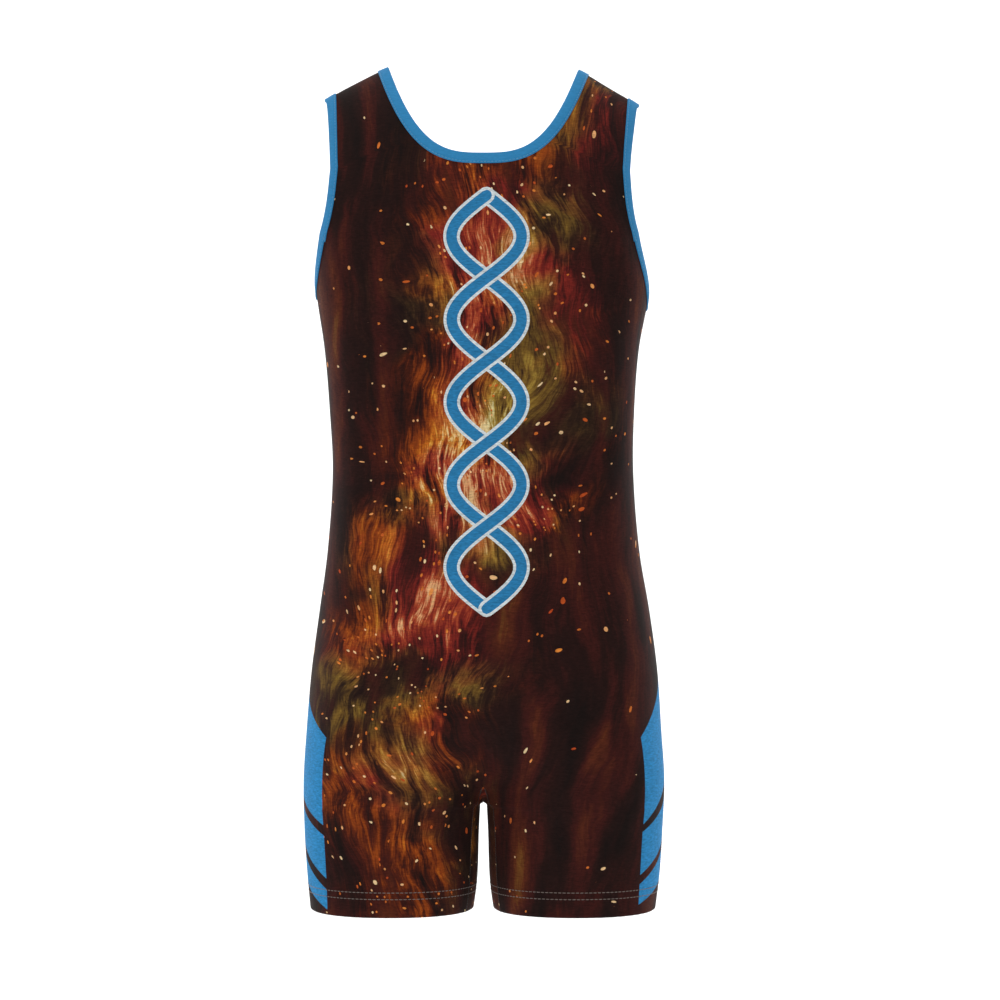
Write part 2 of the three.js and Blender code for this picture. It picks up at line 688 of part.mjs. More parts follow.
// Half of a binding on one face, from the centre or side seam up to the shoulder seam. Beside
// the turn the panel has a corner more on each side, so the binding has stations there too.
// bottomFirst says how the panel's cells along the bottom are cut.
function halfBinding(face, hand, edges, bottomFirst) {
  const { bottom, side, bottomInset, sideInset, middles } = edges;
  const turn = bottom.length - 1;
  const count = turn + side.length - 1;
  const station = (edge, inset, step, insetFirst) => (
    bindingStation(face, hand, edge, inset, step / count, insetFirst));
  const between = (from, to, inset, step) => {
    const added = station(bottom[turn], inset, step, true);
    added.edge.lerpVectors(from.edge, to.edge, 0.5);
    added.edgeNormal.lerpVectors(from.edgeNormal, to.edgeNormal, 0.5).normalize();
    return added;
  };
  const bottomPart = bottom.slice(0, turn).map((edge, i) => (
    station(edge, bottomInset[i], i, bottomFirst && i < turn - 1)));
  const sidePart = side.map((edge, i) => station(edge, sideInset[i], turn + i, i > 0 && !bottomFirst));
  return [
    ...bottomPart,
    between(bottomPart[turn - 1], sidePart[0], middles[0], turn - 0.5),
    sidePart[0],
    between(sidePart[0], sidePart[1], middles[1], turn + 0.5),
    ...sidePart.slice(1),
  ];
}

function neckRing() {
  const quarter = (face, hand) => halfBinding(face, hand, halves[`${face},${hand}`].neck, true);
  return [
    ...quarter(-1, 1),
    ...quarter(1, 1).reverse().slice(1),
    ...quarter(1, -1).slice(1),
    ...quarter(-1, -1).reverse().slice(1, -1),
  ];
}

function armholeRing(hand) {
  const half = (face) => halfBinding(face, hand, halves[`${face},${hand}`].armhole, false);
  return [...half(-1), ...half(1).reverse().slice(1, -1)];
}

const printedKnit = new THREE.MeshStandardMaterial({ color: PRINT, roughness: 0.75, metalness: 0 });
const blueKnit = new THREE.MeshStandardMaterial({ color: BLUE, roughness: 0.7, metalness: 0 });

const singlet = new THREE.Group();

function addPiece(name, geometry, material) {
  const mesh = new THREE.Mesh(facingOut(geometry), material);
  mesh.name = name;
  singlet.add(mesh);
}

addPiece('back_panel', panelWall(-1).geometry(), printedKnit);
addPiece('front_panel', panelWall(1).geometry(), printedKnit);
addPiece('crotch_gusset', gussetWall().geometry(), printedKnit);
addPiece('neck_binding', bindingGeometry(neckRing()), blueKnit);
addPiece('armhole_binding_left', bindingGeometry(armholeRing(-1)), blueKnit);
addPiece('armhole_binding_right', bindingGeometry(armholeRing(1)), blueKnit);

export default singlet;
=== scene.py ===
import math

import bpy
import numpy as np
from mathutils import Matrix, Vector


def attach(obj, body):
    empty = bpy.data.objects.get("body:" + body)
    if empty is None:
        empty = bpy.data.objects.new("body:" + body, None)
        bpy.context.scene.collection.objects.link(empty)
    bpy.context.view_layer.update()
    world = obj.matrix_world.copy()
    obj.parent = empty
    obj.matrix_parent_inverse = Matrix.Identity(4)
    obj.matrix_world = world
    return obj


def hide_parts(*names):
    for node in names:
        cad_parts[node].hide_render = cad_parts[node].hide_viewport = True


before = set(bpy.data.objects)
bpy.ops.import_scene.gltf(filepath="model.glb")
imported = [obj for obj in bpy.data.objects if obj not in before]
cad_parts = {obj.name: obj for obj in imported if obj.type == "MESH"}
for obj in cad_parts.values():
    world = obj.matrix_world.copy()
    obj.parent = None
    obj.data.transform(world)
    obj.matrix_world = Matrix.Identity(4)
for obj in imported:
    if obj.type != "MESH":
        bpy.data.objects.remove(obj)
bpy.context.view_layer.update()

# Back panel: one piece of stretch knit from the leg hems to the shoulder seams, cut round at the
# neck and well in at the armholes, and printed before it is cut. Worn, it is smooth and taut,
# with slight drag lines over the seat and below the arms, and its hems are turned up inside.

CLOTH = 1.3
HEM_CLOTH = 2.4
BINDING_WIDTH = 10.0
FOLD = 1.2
SEAM_GAP = 0.3
HEM, HEM_TURN_UP, HEM_ROUND = -820.0, 25.0, 0.9
GUSSET_FLAT, CROTCH, GUSSET_TIP, FORK_TOP = -743.0, -714.0, -695.0, -600.0
WAIST, CHEST_LINE, SHOULDER_BASE, CREST = -385.0, -205.0, -150.0, 20.0

# The body of the garment: height, half-widths on the left and right hand, half-depths of back
# and front, and how square its section is. Millimetres.
BODY = np.array([
    (-820, 172.5, 171.5, 88, 88, 2.2), (-783, 176, 176, 91, 91, 2.2),
    (-743, 178.5, 178.5, 94, 93, 2.25), (-693, 179.5, 180.5, 103, 99, 2.3),
    (-643, 176.5, 177.5, 114, 103, 2.35), (-583, 171.5, 173.5, 117, 106, 2.4),
    (-523, 163.5, 165.5, 110, 106, 2.4), (-463, 155.5, 155.5, 98, 103, 2.4),
    (-385, 150.5, 149.5, 89, 100, 2.35), (-323, 153.5, 150.5, 92, 102, 2.4),
    (-263, 158.5, 155, 99, 107, 2.5), (-203, 167, 165, 104, 111, 2.6),
    (-150, 170, 161.5, 106, 110, 2.6), (-78, 169.5, 160, 104, 106, 2.6),
    (-43, 167, 159.5, 102, 102, 2.6), (-12, 168, 164, 100, 100, 2.6),
    (20, 172, 169, 100, 100, 2.6)], float)

# The shoulder seam (distance across, height on the left and right hand), the half gap between
# the legs, and how the seat closes over the crotch.
SHOULDER_LINE = np.array([(0, 36, 33), (60, 29, 27), (95, 18, 15.5), (127, 2.8, -2.8),
                          (158, -13.8, -20.8), (190, -34, -42)], float)
SHOULDER_ROLL = 2.3
LEG_GAPS = np.array([(-820, 10), (-803, 7.5), (-783, 5.7), (-743, 4.5), (-717, 3.2)], float)
LEG_BLEND, ARCH = 6.0, 3.2
GUSSET_SHARE, GUSSET_CORNER, GUSSET_POINT, GUSSET_SPREAD = 0.16, -717.0, 0.35, 2.1

# Neck and armhole cuts of the two panels.
NECK_HALF = 94.5
NECKS = {-1: (-76.0, 3.1, 56.0), 1: (-150.0, 4.5, 53.0)}
ARMHOLE_LOW = {-1: -202.0, 1: -213.0}
ARMHOLE_STRAIGHT, ARMHOLE_TURN, TIP_FLARE = -60.0, 32.0, 0.8
ARMHOLE_SHARE = {-1: 0.252, 1: 0.285}
SHOULDER_TIP = {-1: 159.0, 1: 156.0}
# Where the neck edge is looked for, by height and by place across, and how closely.
NECK_BELOW, NECK_TURN_REACH, NECK_SIDE_FROM, NECK_SIDE_TO, HALVINGS = 60.0, 0.5, 0.8, 0.72, 40

# How finely the cloth is divided.
NECK_COLUMNS, MAIN_COLUMNS, SIDE_COLUMNS, SIDE_SHARE = 16, 40, 12, 0.14
COLUMNS = MAIN_COLUMNS + SIDE_COLUMNS
HEM_ROWS = 9
LEG_ROWS = np.concatenate([
    np.linspace(HEM, HEM + HEM_TURN_UP, HEM_ROWS), np.linspace(-794, -743, 16),
    np.linspace(-740, -717, 9), np.linspace(-715, GUSSET_TIP, 13)])
SEAT_ROWS, SIDE_ROWS = 68, 40
CHEST_ROWS = {-1: 36, 1: 16}
STRAP_ROWS = {-1: 40, 1: 60}


def read_table(table, column, at):
    """A smooth curve through one column of a table, read along its first one."""
    key, value = table[:, 0], table[:, column]
    at = np.clip(at, key[0], key[-1])
    i = np.clip(np.searchsorted(key, at, side="right") - 1, 0, len(key) - 2)
    k = np.arange(len(key))
    before, after = np.maximum(k - 1, 0), np.minimum(k + 1, len(key) - 1)
    slope = (value[after] - value[before]) / (key[after] - key[before])
    span = key[i + 1] - key[i]
    t = (at - key[i]) / span
    rise = t * t * (3 - 2 * t)
    bend = t * (1 - t) ** 2 * slope[i] - t * t * (1 - t) * slope[i + 1]
    return value[i] + (value[i + 1] - value[i]) * rise + span * bend


def rim_radius(across, deep, half_width, half_depth, square):
    """From the centre of a squared ellipse to its rim, in the direction (across, deep)."""
    total = np.abs(across / half_width) ** square + np.abs(deep / half_depth) ** square
    return total ** (-1 / square)


def rim_depth(across, half_width, half_depth, square):
    return half_depth * np.maximum(1 - np.abs(across / half_width) ** square, 0) ** (1 / square)


def half_gap(height):
    fall = np.clip((CROTCH - height) / ARCH, 0, 1)
    return np.sqrt(1 - (1 - fall) ** 2) * read_table(LEG_GAPS, 1, height)


def cloth_point(face, hand, around, up):
    """Points of the cloth's outer surface: face -1 is the back, hand -1 the left. around runs
    from 0 at the centre or inner leg to 1 at the side, up is the height, on over the shoulder."""
    places = np.broadcast_arrays(face, hand, around, up)
    face, hand, around, up = (np.array(a, float) for a in places)
    over = up > CREST
    face, up = np.where(over, -face, face), np.where(over, 2 * CREST - up, up)
    past = around > 1
    face, around = np.where(past, -face, face), np.where(past, 2 - around, around)
    inner = around < 0
    face = np.where(inner & (up <= CROTCH), -face, face)
    hand = np.where(inner & (up > CROTCH), -hand, hand)
    around = np.abs(around)

    half_width = np.where(hand < 0, read_table(BODY, 1, up), read_table(BODY, 2, up))
    half_depth = np.where(face < 0, read_table(BODY, 3, up), read_table(BODY, 4, up))
    square = read_table(BODY, 5, up)
    turn = around * math.pi / 2
    radius = rim_radius(np.sin(turn), np.cos(turn), half_width, half_depth, square)
    x, y, z = radius * np.sin(turn), radius * np.cos(turn), up.copy()

    gap = half_gap(up)
    leg_half, leg_centre = (half_width - gap) / 2, (half_width + gap) / 2
    leg_turn = around * math.pi
    leg_radius = rim_radius(np.cos(leg_turn), np.sin(leg_turn), leg_half, half_depth, square)
    fork = np.clip((FORK_TOP - up) / (FORK_TOP - CROTCH), 0, 1)
    leg_x = x + (leg_centre - leg_radius * np.cos(leg_turn) - x) * fork * fork * (3 - 2 * fork)
    closing = np.sqrt(1 - fork * fork)
    body_at_leg = rim_depth(leg_centre, half_width, half_depth, square)
    wanted = body_at_leg + (half_depth - body_at_leg) * fork
    missing = wanted ** LEG_BLEND - (closing * body_at_leg) ** LEG_BLEND
    leg_depth = np.maximum(missing, 0) ** (1 / LEG_BLEND)
    seat = closing * rim_depth(leg_x, half_width, half_depth, square)
    leg = rim_depth(leg_x - leg_centre, leg_half, leg_depth, square)
    seat_y = (seat ** LEG_BLEND + leg ** LEG_BLEND) ** (1 / LEG_BLEND)
    leg_y = np.where(up > CROTCH, seat_y, leg_radius * np.sin(leg_turn))
    low = up < FORK_TOP
    x, y = np.where(low, leg_x, x), np.where(low, leg_y, y)

    roll = np.maximum((up - SHOULDER_BASE) / (CREST - SHOULDER_BASE), 0) * math.pi / 2
    line = np.where(hand < 0, read_table(SHOULDER_LINE, 1, x), read_table(SHOULDER_LINE, 2, x))
    deep, rise = np.maximum(y, 1e-6), line - SHOULDER_BASE
    reach = rim_radius(np.cos(roll), np.sin(roll), deep, rise, SHOULDER_ROLL)
    high = up > SHOULDER_BASE
    y = np.where(high, reach * np.cos(roll), y)
    z = np.where(high, SHOULDER_BASE + reach * np.sin(roll), z)
    return np.stack([hand * x, face * y, z], -1)


def cloth_frame(face, hand, around, up):
    """How the cloth runs there: its directions along around and up, and its outward normal."""
    step_around, step_up = 0.004, 0.5
    along_around = (cloth_point(face, hand, around + step_around, up)
                    - cloth_point(face, hand, around - step_around, up)) / (2 * step_around)
    along_up = (cloth_point(face, hand, around, up + step_up)
                - cloth_point(face, hand, around, up - step_up)) / (2 * step_up)
    normal = np.cross(along_around, along_up) * -np.asarray(face * hand)[..., None]
    return along_around, along_up, normal / np.linalg.norm(normal, axis=-1, keepdims=True)


def inset_places(face, hand, edge, distance, cloth):
    """The places a distance in from an edge. cloth is 1 if the cloth lies left of the edge."""
    along = np.empty_like(edge)
    along[1:-1] = edge[2:] - edge[:-2]
    along[0], along[-1] = edge[1] - edge[0], edge[-1] - edge[-2]
    by_around, by_up, _ = cloth_frame(face, hand, edge[:, 0], edge[:, 1])
    run = by_around * along[:, :1] + by_up * along[:, 1:]
    step = np.stack([-(by_up * run).sum(-1), (by_around * run).sum(-1)], -1)
    inward = by_around * step[:, :1] + by_up * step[:, 1:]
    return edge + cloth * distance * step / np.linalg.norm(inward, axis=-1, keepdims=True)


def space_places(face, hand, fine, count):
    """Places evenly spaced along a finely drawn edge."""
    points = cloth_point(face, hand, fine[:, 0], fine[:, 1])
    length = np.concatenate([[0], np.cumsum(np.linalg.norm(np.diff(points, axis=0), axis=1))])
    want = np.linspace(0, length[-1], count + 1)
    return np.stack([np.interp(want, length, fine[:, 0]), np.interp(want, length, fine[:, 1])], -1)


def passes_zero(measure, low, high):
    """Where a rising measure passes zero, for many at once."""
    low, high = (np.array(a, float) for a in np.broadcast_arrays(low, high))
    for _ in range(HALVINGS):
        middle = (low + high) / 2
        below = measure(middle) < 0
        low, high = np.where(below, middle, low), np.where(below, high, middle)
    return (low + high) / 2


def neck_edge(face, hand):
    """The raw neck edge of one half panel: its bottom, and its side up to the shoulder seam."""
    bottom, flatness, turn = NECKS[face]
    half, low = NECK_HALF + FOLD, bottom - FOLD
    crown = read_table(SHOULDER_LINE, 1 if hand < 0 else 2, np.array(half))

    def excess(around, up):
        point = cloth_point(face, hand, around, up)
        return point[..., 2] - low - (crown - low) * (np.abs(point[..., 0]) / half) ** flatness

    def height(around):
        lowest = np.full(around.shape, SHOULDER_BASE - NECK_BELOW)
        return passes_zero(lambda up: excess(around, up), lowest, CREST)

    tried = np.linspace(0, NECK_TURN_REACH, 500)
    reached = np.abs(cloth_point(face, hand, tried, height(tried))[:, 0])
    turn_around = np.interp(turn, reached, tried)
    around = np.linspace(0, turn_around, 200)
    bottom_fine = np.stack([around, height(around)], -1)
    up = np.linspace(bottom_fine[-1, 1], CREST, 300)
    inmost = np.full(up.shape, turn_around * NECK_SIDE_FROM)
    side = passes_zero(lambda place: -excess(place, up), inmost, NECK_SIDE_TO)
    side_fine = np.stack([side, up], -1)
    return (space_places(face, hand, bottom_fine, NECK_COLUMNS),
            space_places(face, hand, side_fine, STRAP_ROWS[face]))


def armhole_edge(face, hand):
    """The raw armhole edge of one half panel: its bottom from the side seam, and its side."""
    share, low = ARMHOLE_SHARE[face], ARMHOLE_LOW[hand] - FOLD

    def curve(degrees):
        turn = np.radians(degrees)
        return np.stack([1 - share * np.sin(turn),
                         ARMHOLE_STRAIGHT + (low - ARMHOLE_STRAIGHT) * np.cos(turn)], -1)

    tip = passes_zero(lambda around: np.abs(cloth_point(face, hand, around, CREST)[..., 0])
                      + FOLD - SHOULDER_TIP[hand], np.array(0.5), 1)
    climb = np.linspace(0, 1, 100)[1:]
    strap = np.stack([1 - share + (tip - 1 + share) * climb ** TIP_FLARE,
                      ARMHOLE_STRAIGHT + (CREST - ARMHOLE_STRAIGHT) * climb], -1)
    side_fine = np.concatenate([curve(np.linspace(ARMHOLE_TURN, 90, 120)), strap])
    return (space_places(face, hand, curve(np.linspace(0, ARMHOLE_TURN, 60)), SIDE_COLUMNS),
            space_places(face, hand, side_fine, CHEST_ROWS[face] + STRAP_ROWS[face]))


def with_inset(face, hand, edges, cloth):
    """Both parts of an edge, the lines one binding inside them, and the two places beside the
    turn."""
    bottom, side = edges
    inset = inset_places(face, hand, np.concatenate([bottom, side[1:]]), BINDING_WIDTH, cloth)
    turn = len(bottom) - 1
    middles = (inset[turn - 1:turn + 1] + inset[turn:turn + 2]) / 2
    return {"bottom": bottom, "side": side, "bottom_in": inset[:turn + 1], "side_in": inset[turn:],
            "middles": middles}


def between(start, end, count):
    start, end = np.array(start), np.array(end)
    return start + (end - start) * np.linspace(0, 1, count + 1)[:, None]


def fill_patch(bottom, top, left, right):
    """Fills a patch of places between its four edges."""
    u = np.linspace(0, 1, len(bottom))[None, :, None]
    v = np.linspace(0, 1, len(left))[:, None, None]
    below, above = (1 - u) * bottom[0] + u * bottom[-1], (1 - u) * top[0] + u * top[-1]
    upward = (1 - v) * bottom[None] + v * top[None]
    return upward + (1 - u) * left[:, None] + u * right[:, None] - ((1 - v) * below + v * above)


def gusset_share(height):
    climb = np.clip((GUSSET_TIP - height) / (GUSSET_TIP - GUSSET_CORNER), 0, 1)
    return GUSSET_SHARE * climb ** GUSSET_POINT


def level_row(inner, height):
    share = np.concatenate([np.linspace(0, 1 - SIDE_SHARE, MAIN_COLUMNS + 1),
                            np.linspace(1 - SIDE_SHARE, 1, SIDE_COLUMNS + 1)[1:]])
    return np.stack([inner + (1 - inner) * share, np.full(share.shape, height)], -1)


def half_panel(face, hand):
    """The places of one half panel, rows from the hem to the shoulder seam and columns from the
    centre or neck out to the side or armhole. The openings stay empty (nan)."""
    chest_rows, strap_rows = CHEST_ROWS[face], STRAP_ROWS[face]
    rows = [level_row(gusset_share(h), h) for h in LEG_ROWS]
    rows += [level_row(0.0, h) for h in np.linspace(GUSSET_TIP, WAIST, SEAT_ROWS + 1)[1:]]
    waist_row = len(rows) - 1
    armhole_row = waist_row + SIDE_ROWS + 1
    neck_row = armhole_row + chest_rows
    neck = with_inset(face, hand, neck_edge(face, hand), -1)
    armhole = with_inset(face, hand, armhole_edge(face, hand), 1)
    neck["bottom_in"][0, 0], neck["side_in"][-1, 1] = 0, CREST
    armhole["bottom_in"][0, 0], armhole["side_in"][-1, 1] = 1, CREST

    waist, chest_line = (0, WAIST), np.array((0, CHEST_LINE))
    side_top = np.concatenate([between(chest_line, armhole["side_in"][0], MAIN_COLUMNS - 1),
                               armhole["middles"][:1], armhole["bottom_in"][:-1][::-1]])
    rows += list(fill_patch(rows[waist_row], side_top, between(waist, chest_line, SIDE_ROWS),
                            between((1, WAIST), armhole["bottom_in"][0], SIDE_ROWS))[1:])

    strap_columns = MAIN_COLUMNS - 2 - NECK_COLUMNS
    chest_top = np.concatenate([
        neck["bottom_in"][:NECK_COLUMNS], neck["middles"][:1],
        between(neck["side_in"][0], armhole["side_in"][chest_rows - 1], strap_columns)])
    chest = fill_patch(side_top[:MAIN_COLUMNS], chest_top,
                       between(chest_line, neck["bottom_in"][0], chest_rows),
                       np.concatenate([armhole["side_in"][:1], armhole["middles"][1:],
                                       armhole["side_in"][1:chest_rows]]))
    strap = fill_patch(chest_top[NECK_COLUMNS + 1:],
                       between(neck["side_in"][-1], armhole["side_in"][-1], strap_columns),
                       np.concatenate([neck["side_in"][:1], neck["middles"][1:],
                                       neck["side_in"][1:]]),
                       armhole["side_in"][chest_rows - 1:])

    places = np.full((neck_row + strap_rows + 1, COLUMNS + 1, 2), np.nan)
    places[:len(rows)] = rows
    last = MAIN_COLUMNS
    for k in range(1, chest_rows + 1):
        places[waist_row + SIDE_ROWS + k, :last] = chest[k]
        places[waist_row + SIDE_ROWS + k, last] = armhole["side"][k - 1]
    places[neck_row:, NECK_COLUMNS] = neck["side"]
    places[neck_row:, NECK_COLUMNS + 1:last] = strap[1:]
    places[neck_row:, last] = armhole["side"][chest_rows:]
    places[neck_row, :NECK_COLUMNS] = neck["bottom"][:-1]
    places[armhole_row, last + 1:] = armhole["bottom"][:-1][::-1]
    return {"places": places, "armhole_row": armhole_row, "neck": neck, "armhole": armhole}


HALVES = {(face, hand): half_panel(face, hand) for face in (-1, 1) for hand in (-1, 1)}

# Where worn cloth pulls or slackens: a line across the panel (x and z of both ends), how wide the
# soft fold is and how high it stands, less than 0 for a trough. Millimetres.
CREASES = {
    -1: [(-14, -700, -96, -640, 13, -1.5), (14, -700, 104, -646, 14, -1.6),
         (-10, -676, -60, -612, 12, 1.1), (12, -672, 70, -604, 12, 1.1),
         (-30, -735, -118, -712, 9, -1.1), (34, -738, 126, -716, 10, -1.1),
         (-120, -425, -34, -398, 11, -1.2), (122, -418, 40, -396, 12, -1.3),
         (-126, -392, -52, -372, 10, 1.0), (126, -388, 56, -370, 10, 0.9),
         (-118, -356, -40, -344, 11, -0.9), (114, -352, 36, -338, 11, -1.0),
         (-128, -228, -60, -268, 12, -1.2), (124, -240, 58, -284, 12, -1.2),
         (-104, -196, -44, -214, 10, 0.9), (100, -204, 46, -226, 10, 0.9),
         (0, -180, 2, -360, 26, -1.6), (-92, -30, -108, -110, 9, -0.8),
         (92, -32, 104, -112, 9, -0.8)],
    1: [(-14, -704, -88, -652, 14, -1.6), (14, -704, 92, -650, 14, -1.6),
        (-12, -680, -52, -618, 12, 1.1), (12, -680, 56, -620, 12, 1.1),
        (-118, -430, -30, -404, 12, -1.3), (120, -426, 34, -402, 12, -1.3),
        (-122, -392, -48, -378, 10, 1.0), (122, -390, 50, -376, 10, 1.0),
        (-120, -240, -56, -286, 13, -1.3), (118, -246, 54, -290, 13, -1.3),
        (-86, -46, -98, -140, 9, -0.8), (86, -46, 96, -140, 9, -0.8)],
}
CREASE_BOW, CREASE_OVERRUN = 0.06, 0.25
PUCKER, PUCKER_STEP, PUCKER_REACH, LEG_MIDDLE = 0.28, 11.0, 40.0, 92.0


def drape(points, normal):
    """How far the worn cloth stands off its even form, along its normal."""
    x, y, z = points[:, 0], points[:, 1], points[:, 2]
    lift = np.zeros(len(points))
    for face, creases in CREASES.items():
        fold = np.zeros(len(points))
        for x0, z0, x1, z1, width, height in creases:
            run = math.hypot(x1 - x0, z1 - z0)
            along = ((x - x0) * (x1 - x0) + (z - z0) * (z1 - z0)) / run
            off = ((z - z0) * (x1 - x0) - (x - x0) * (z1 - z0)) / run
            bow = off + CREASE_BOW * run * (1 - (2 * along / run - 1) ** 2)
            reach = np.clip(along / run, -CREASE_OVERRUN, 1 + CREASE_OVERRUN)
            ends = np.cos((reach - 0.5) / (1 + 2 * CREASE_OVERRUN) * math.pi) ** 2
            fold += height * ends * np.exp(-(bow / width) ** 2)
        facing = np.clip(normal[:, 1] * face, 0, 1)
        lift += fold * facing ** 1.5
    hem = np.clip((HEM + PUCKER_REACH - z) / PUCKER_REACH, 0, 1)
    round_leg = np.arctan2(y, np.abs(x) - LEG_MIDDLE) * LEG_MIDDLE
    # Slower waves make the hem's small ones uneven in place and in height.
    wave = np.sin(round_leg * 2 * math.pi / PUCKER_STEP + 1.7 * np.sin(round_leg / 31))
    return lift + PUCKER * wave * hem * (0.6 + 0.4 * np.sin(round_leg / 17 + 1))


def part_seam(outer, normal, at, towards, distance):
    """Moves corners over the cloth towards their neighbours, to leave half of a seam's gap."""
    step = outer[towards] - outer[at]
    step -= (step * normal[at]).sum(-1, keepdims=True) * normal[at]
    outer[at] += step * distance / np.linalg.norm(step, axis=-1, keepdims=True)


def link_object(name, data):
    made = bpy.data.objects.new(name, data)
    bpy.context.scene.collection.objects.link(made)
    return made


def add_object(name, points, faces, sharp=180):
    """A smooth object from corners in millimetres. Edges that turn by more than sharp degrees
    stay sharp."""
    mesh = bpy.data.meshes.new(name)
    mesh.from_pydata((np.asarray(points) / 1000).tolist(), [], faces)
    mesh.shade_smooth()
    if sharp < 180:
        mesh.set_sharp_from_angle(angle=math.radians(sharp))
    return link_object(name, mesh)


def add_shell(name, outer, normal, thickness, quads, cloth, folded):
    """A thin wall of cloth with an outside, an inside and a rim. cloth is where each corner lies
    on the flat cut: across, up and in from the side, in metres. folded corners have a round rim.
    Single cloth shows its bare side inside; the turned-up hem shows its print there."""
    outer = outer + normal * drape(outer, normal)[:, None]
    inner = outer - normal * thickness[:, None]
    corners = outer[quads]
    facing = np.cross(corners[:, 2] - corners[:, 0], corners[:, 3] - corners[:, 1])
    if (facing * normal[quads[:, 0]]).sum() < 0:
        quads = quads[:, ::-1]
    count = len(outer)
    edges = np.concatenate([quads[:, [k, (k + 1) % 4]] for k in range(4)])
    known = {(a, b) for a, b in edges.tolist()}
    rim = [(a, b) for a, b in edges.tolist() if (b, a) not in known]
    place = {v: 2 * count + i for i, v in enumerate(folded)}
    middle = (outer[folded] + inner[folded]) / 2
    outer[folded, 2] += HEM_ROUND
    inner[folded, 2] += HEM_ROUND
    faces = quads.tolist() + (quads[:, ::-1] + count).tolist()
    for a, b in rim:
        if a in place and b in place:
            faces += [(b, a, place[a], place[b]), (place[b], place[a], a + count, b + count)]
        else:
            faces.append((b, a, a + count, b + count))
    piece = add_object(name, np.concatenate([outer, inner, middle]), faces, 55)
    add_print(piece.data, np.concatenate([cloth, cloth, cloth[folded]]))
    bare = np.zeros(len(faces), np.int32)
    bare[len(quads):2 * len(quads)] = (thickness[quads] == CLOTH).all(1)
    piece.data.polygons.foreach_set("material_index", bare)
    return piece


def cells_of(number):
    """The four corners of every cell of a grid of corner numbers."""
    return np.stack([number[:-1, :-1], number[:-1, 1:], number[1:, 1:], number[1:, :-1]], -1)


def panel(name, face):
    """A whole back or front: both halves joined along the centre above the gusset's tip."""
    tip_row = len(LEG_ROWS) - 1
    outer, normal, cloth, thickness, ids = [], [], [], [], {}
    for hand in (-1, 1):
        places = HALVES[face, hand]["places"]
        full = ~np.isnan(places[..., 0])
        r, c = np.nonzero(full)
        at = cloth_point(face, hand, places[r, c, 0], places[r, c, 1])
        lengths = np.zeros(full.shape)
        grid = np.zeros(full.shape + (3,))
        grid[r, c] = at
        step = np.linalg.norm(np.diff(grid, axis=1), axis=-1) * (full[:, 1:] & full[:, :-1])
        lengths[:, 1:] = np.cumsum(step, axis=1)
        first = np.abs(grid[np.arange(len(full)), full.argmax(1), 0])
        inwards = lengths[:, -1:] - lengths
        across = lengths + first[:, None]
        across[:tip_row] = lengths[tip_row, -1] - inwards[:tip_row]
        number = np.full(full.shape, -1)
        number[r, c] = np.arange(len(r)) + sum(len(o) for o in outer)
        outer.append(at)
        normal.append(cloth_frame(face, hand, places[r, c, 0], places[r, c, 1])[2])
        cloth.append(np.stack([hand * across[r, c], places[r, c, 1], inwards[r, c]], -1) / 1000)
        thickness.append(np.where(r < HEM_ROWS, HEM_CLOTH, CLOTH))
        ids[hand] = number
    outer, normal, cloth = np.concatenate(outer), np.concatenate(normal), np.concatenate(cloth)
    for hand, number in ids.items():
        row = HALVES[face, hand]["armhole_row"]
        top = number[-1, NECK_COLUMNS:MAIN_COLUMNS + 1]
        below = number[-2, NECK_COLUMNS:MAIN_COLUMNS + 1]
        part_seam(outer, normal, number[:tip_row, 0], number[:tip_row, 1], SEAM_GAP / 2)
        side = number[:row + 1]
        part_seam(outer, normal, side[:, COLUMNS], side[:, COLUMNS - 1], SEAM_GAP / 2)
        part_seam(outer, normal, top, below, SEAM_GAP / 2)
    centre = ids[-1][tip_row:, 0]
    ids[1][tip_row:, 0] = centre
    part_seam(outer, normal, centre[:1], centre[1:2], SEAM_GAP)
    quads = []
    for hand, number in ids.items():
        cells = cells_of(number)
        cells = cells[(cells >= 0).all(-1)]
        quads.append(cells[:, ::-1] if hand > 0 else cells)
    quads = np.concatenate(quads)
    used, again = np.unique(quads, return_inverse=True)
    again = again.reshape(quads.shape)
    folded = np.nonzero(outer[used, 2] < HEM + 0.01)[0]
    return add_shell(name, outer[used], normal[used], np.concatenate(thickness)[used], again,
                     cloth[used], folded)


def colour(code):
    """The linear value of an sRGB hex colour."""
    values = [int(code[i:i + 2], 16) / 255 for i in (1, 3, 5)]
    linear = [v / 12.92 if v <= 0.04045 else ((v + 0.055) / 1.055) ** 2.4 for v in values]
    return (*linear, 1.0)


def node(tree, kind, inputs=None, **settings):
    """Adds a node with its settings. Each input is a value, or the output that feeds it."""
    made = tree.nodes.new("ShaderNode" + kind)
    for key, value in settings.items():
        setattr(made, key, value)
    for key, value in (inputs or {}).items():
        if isinstance(value, bpy.types.NodeSocket):
            tree.links.new(value, made.inputs[key])
        else:
            made.inputs[key].default_value = value
    return made


def new_material(name):
    """An empty material and its node tree."""
    material = bpy.data.materials.new(name)
    material.use_nodes = True
    material.node_tree.nodes.clear()
    return material, material.node_tree


def lay_surface(tree, inputs):
    skin = node(tree, "BsdfPrincipled", inputs)
    node(tree, "OutputMaterial", {"Surface": skin.outputs[0]})


def dress(piece, *materials):
    for material in materials:
        piece.data.materials.append(material)


def reckon(tree, operation, *values):
    return node(tree, "Math", dict(enumerate(values)), operation=operation).outputs[0]


def spread(tree, value, low, high, start=0.0, end=1.0):
    """Spreads a value's range low to high over start to end."""
    return node(tree, "MapRange", {"Value": value, "From Min": low, "From Max": high,
                                   "To Min": start, "To Max": end}).outputs[0]


def lay_over(tree, share, below, above):
    return node(tree, "Mix", {0: share, 6: below, 7: above}, data_type="RGBA").outputs[2]


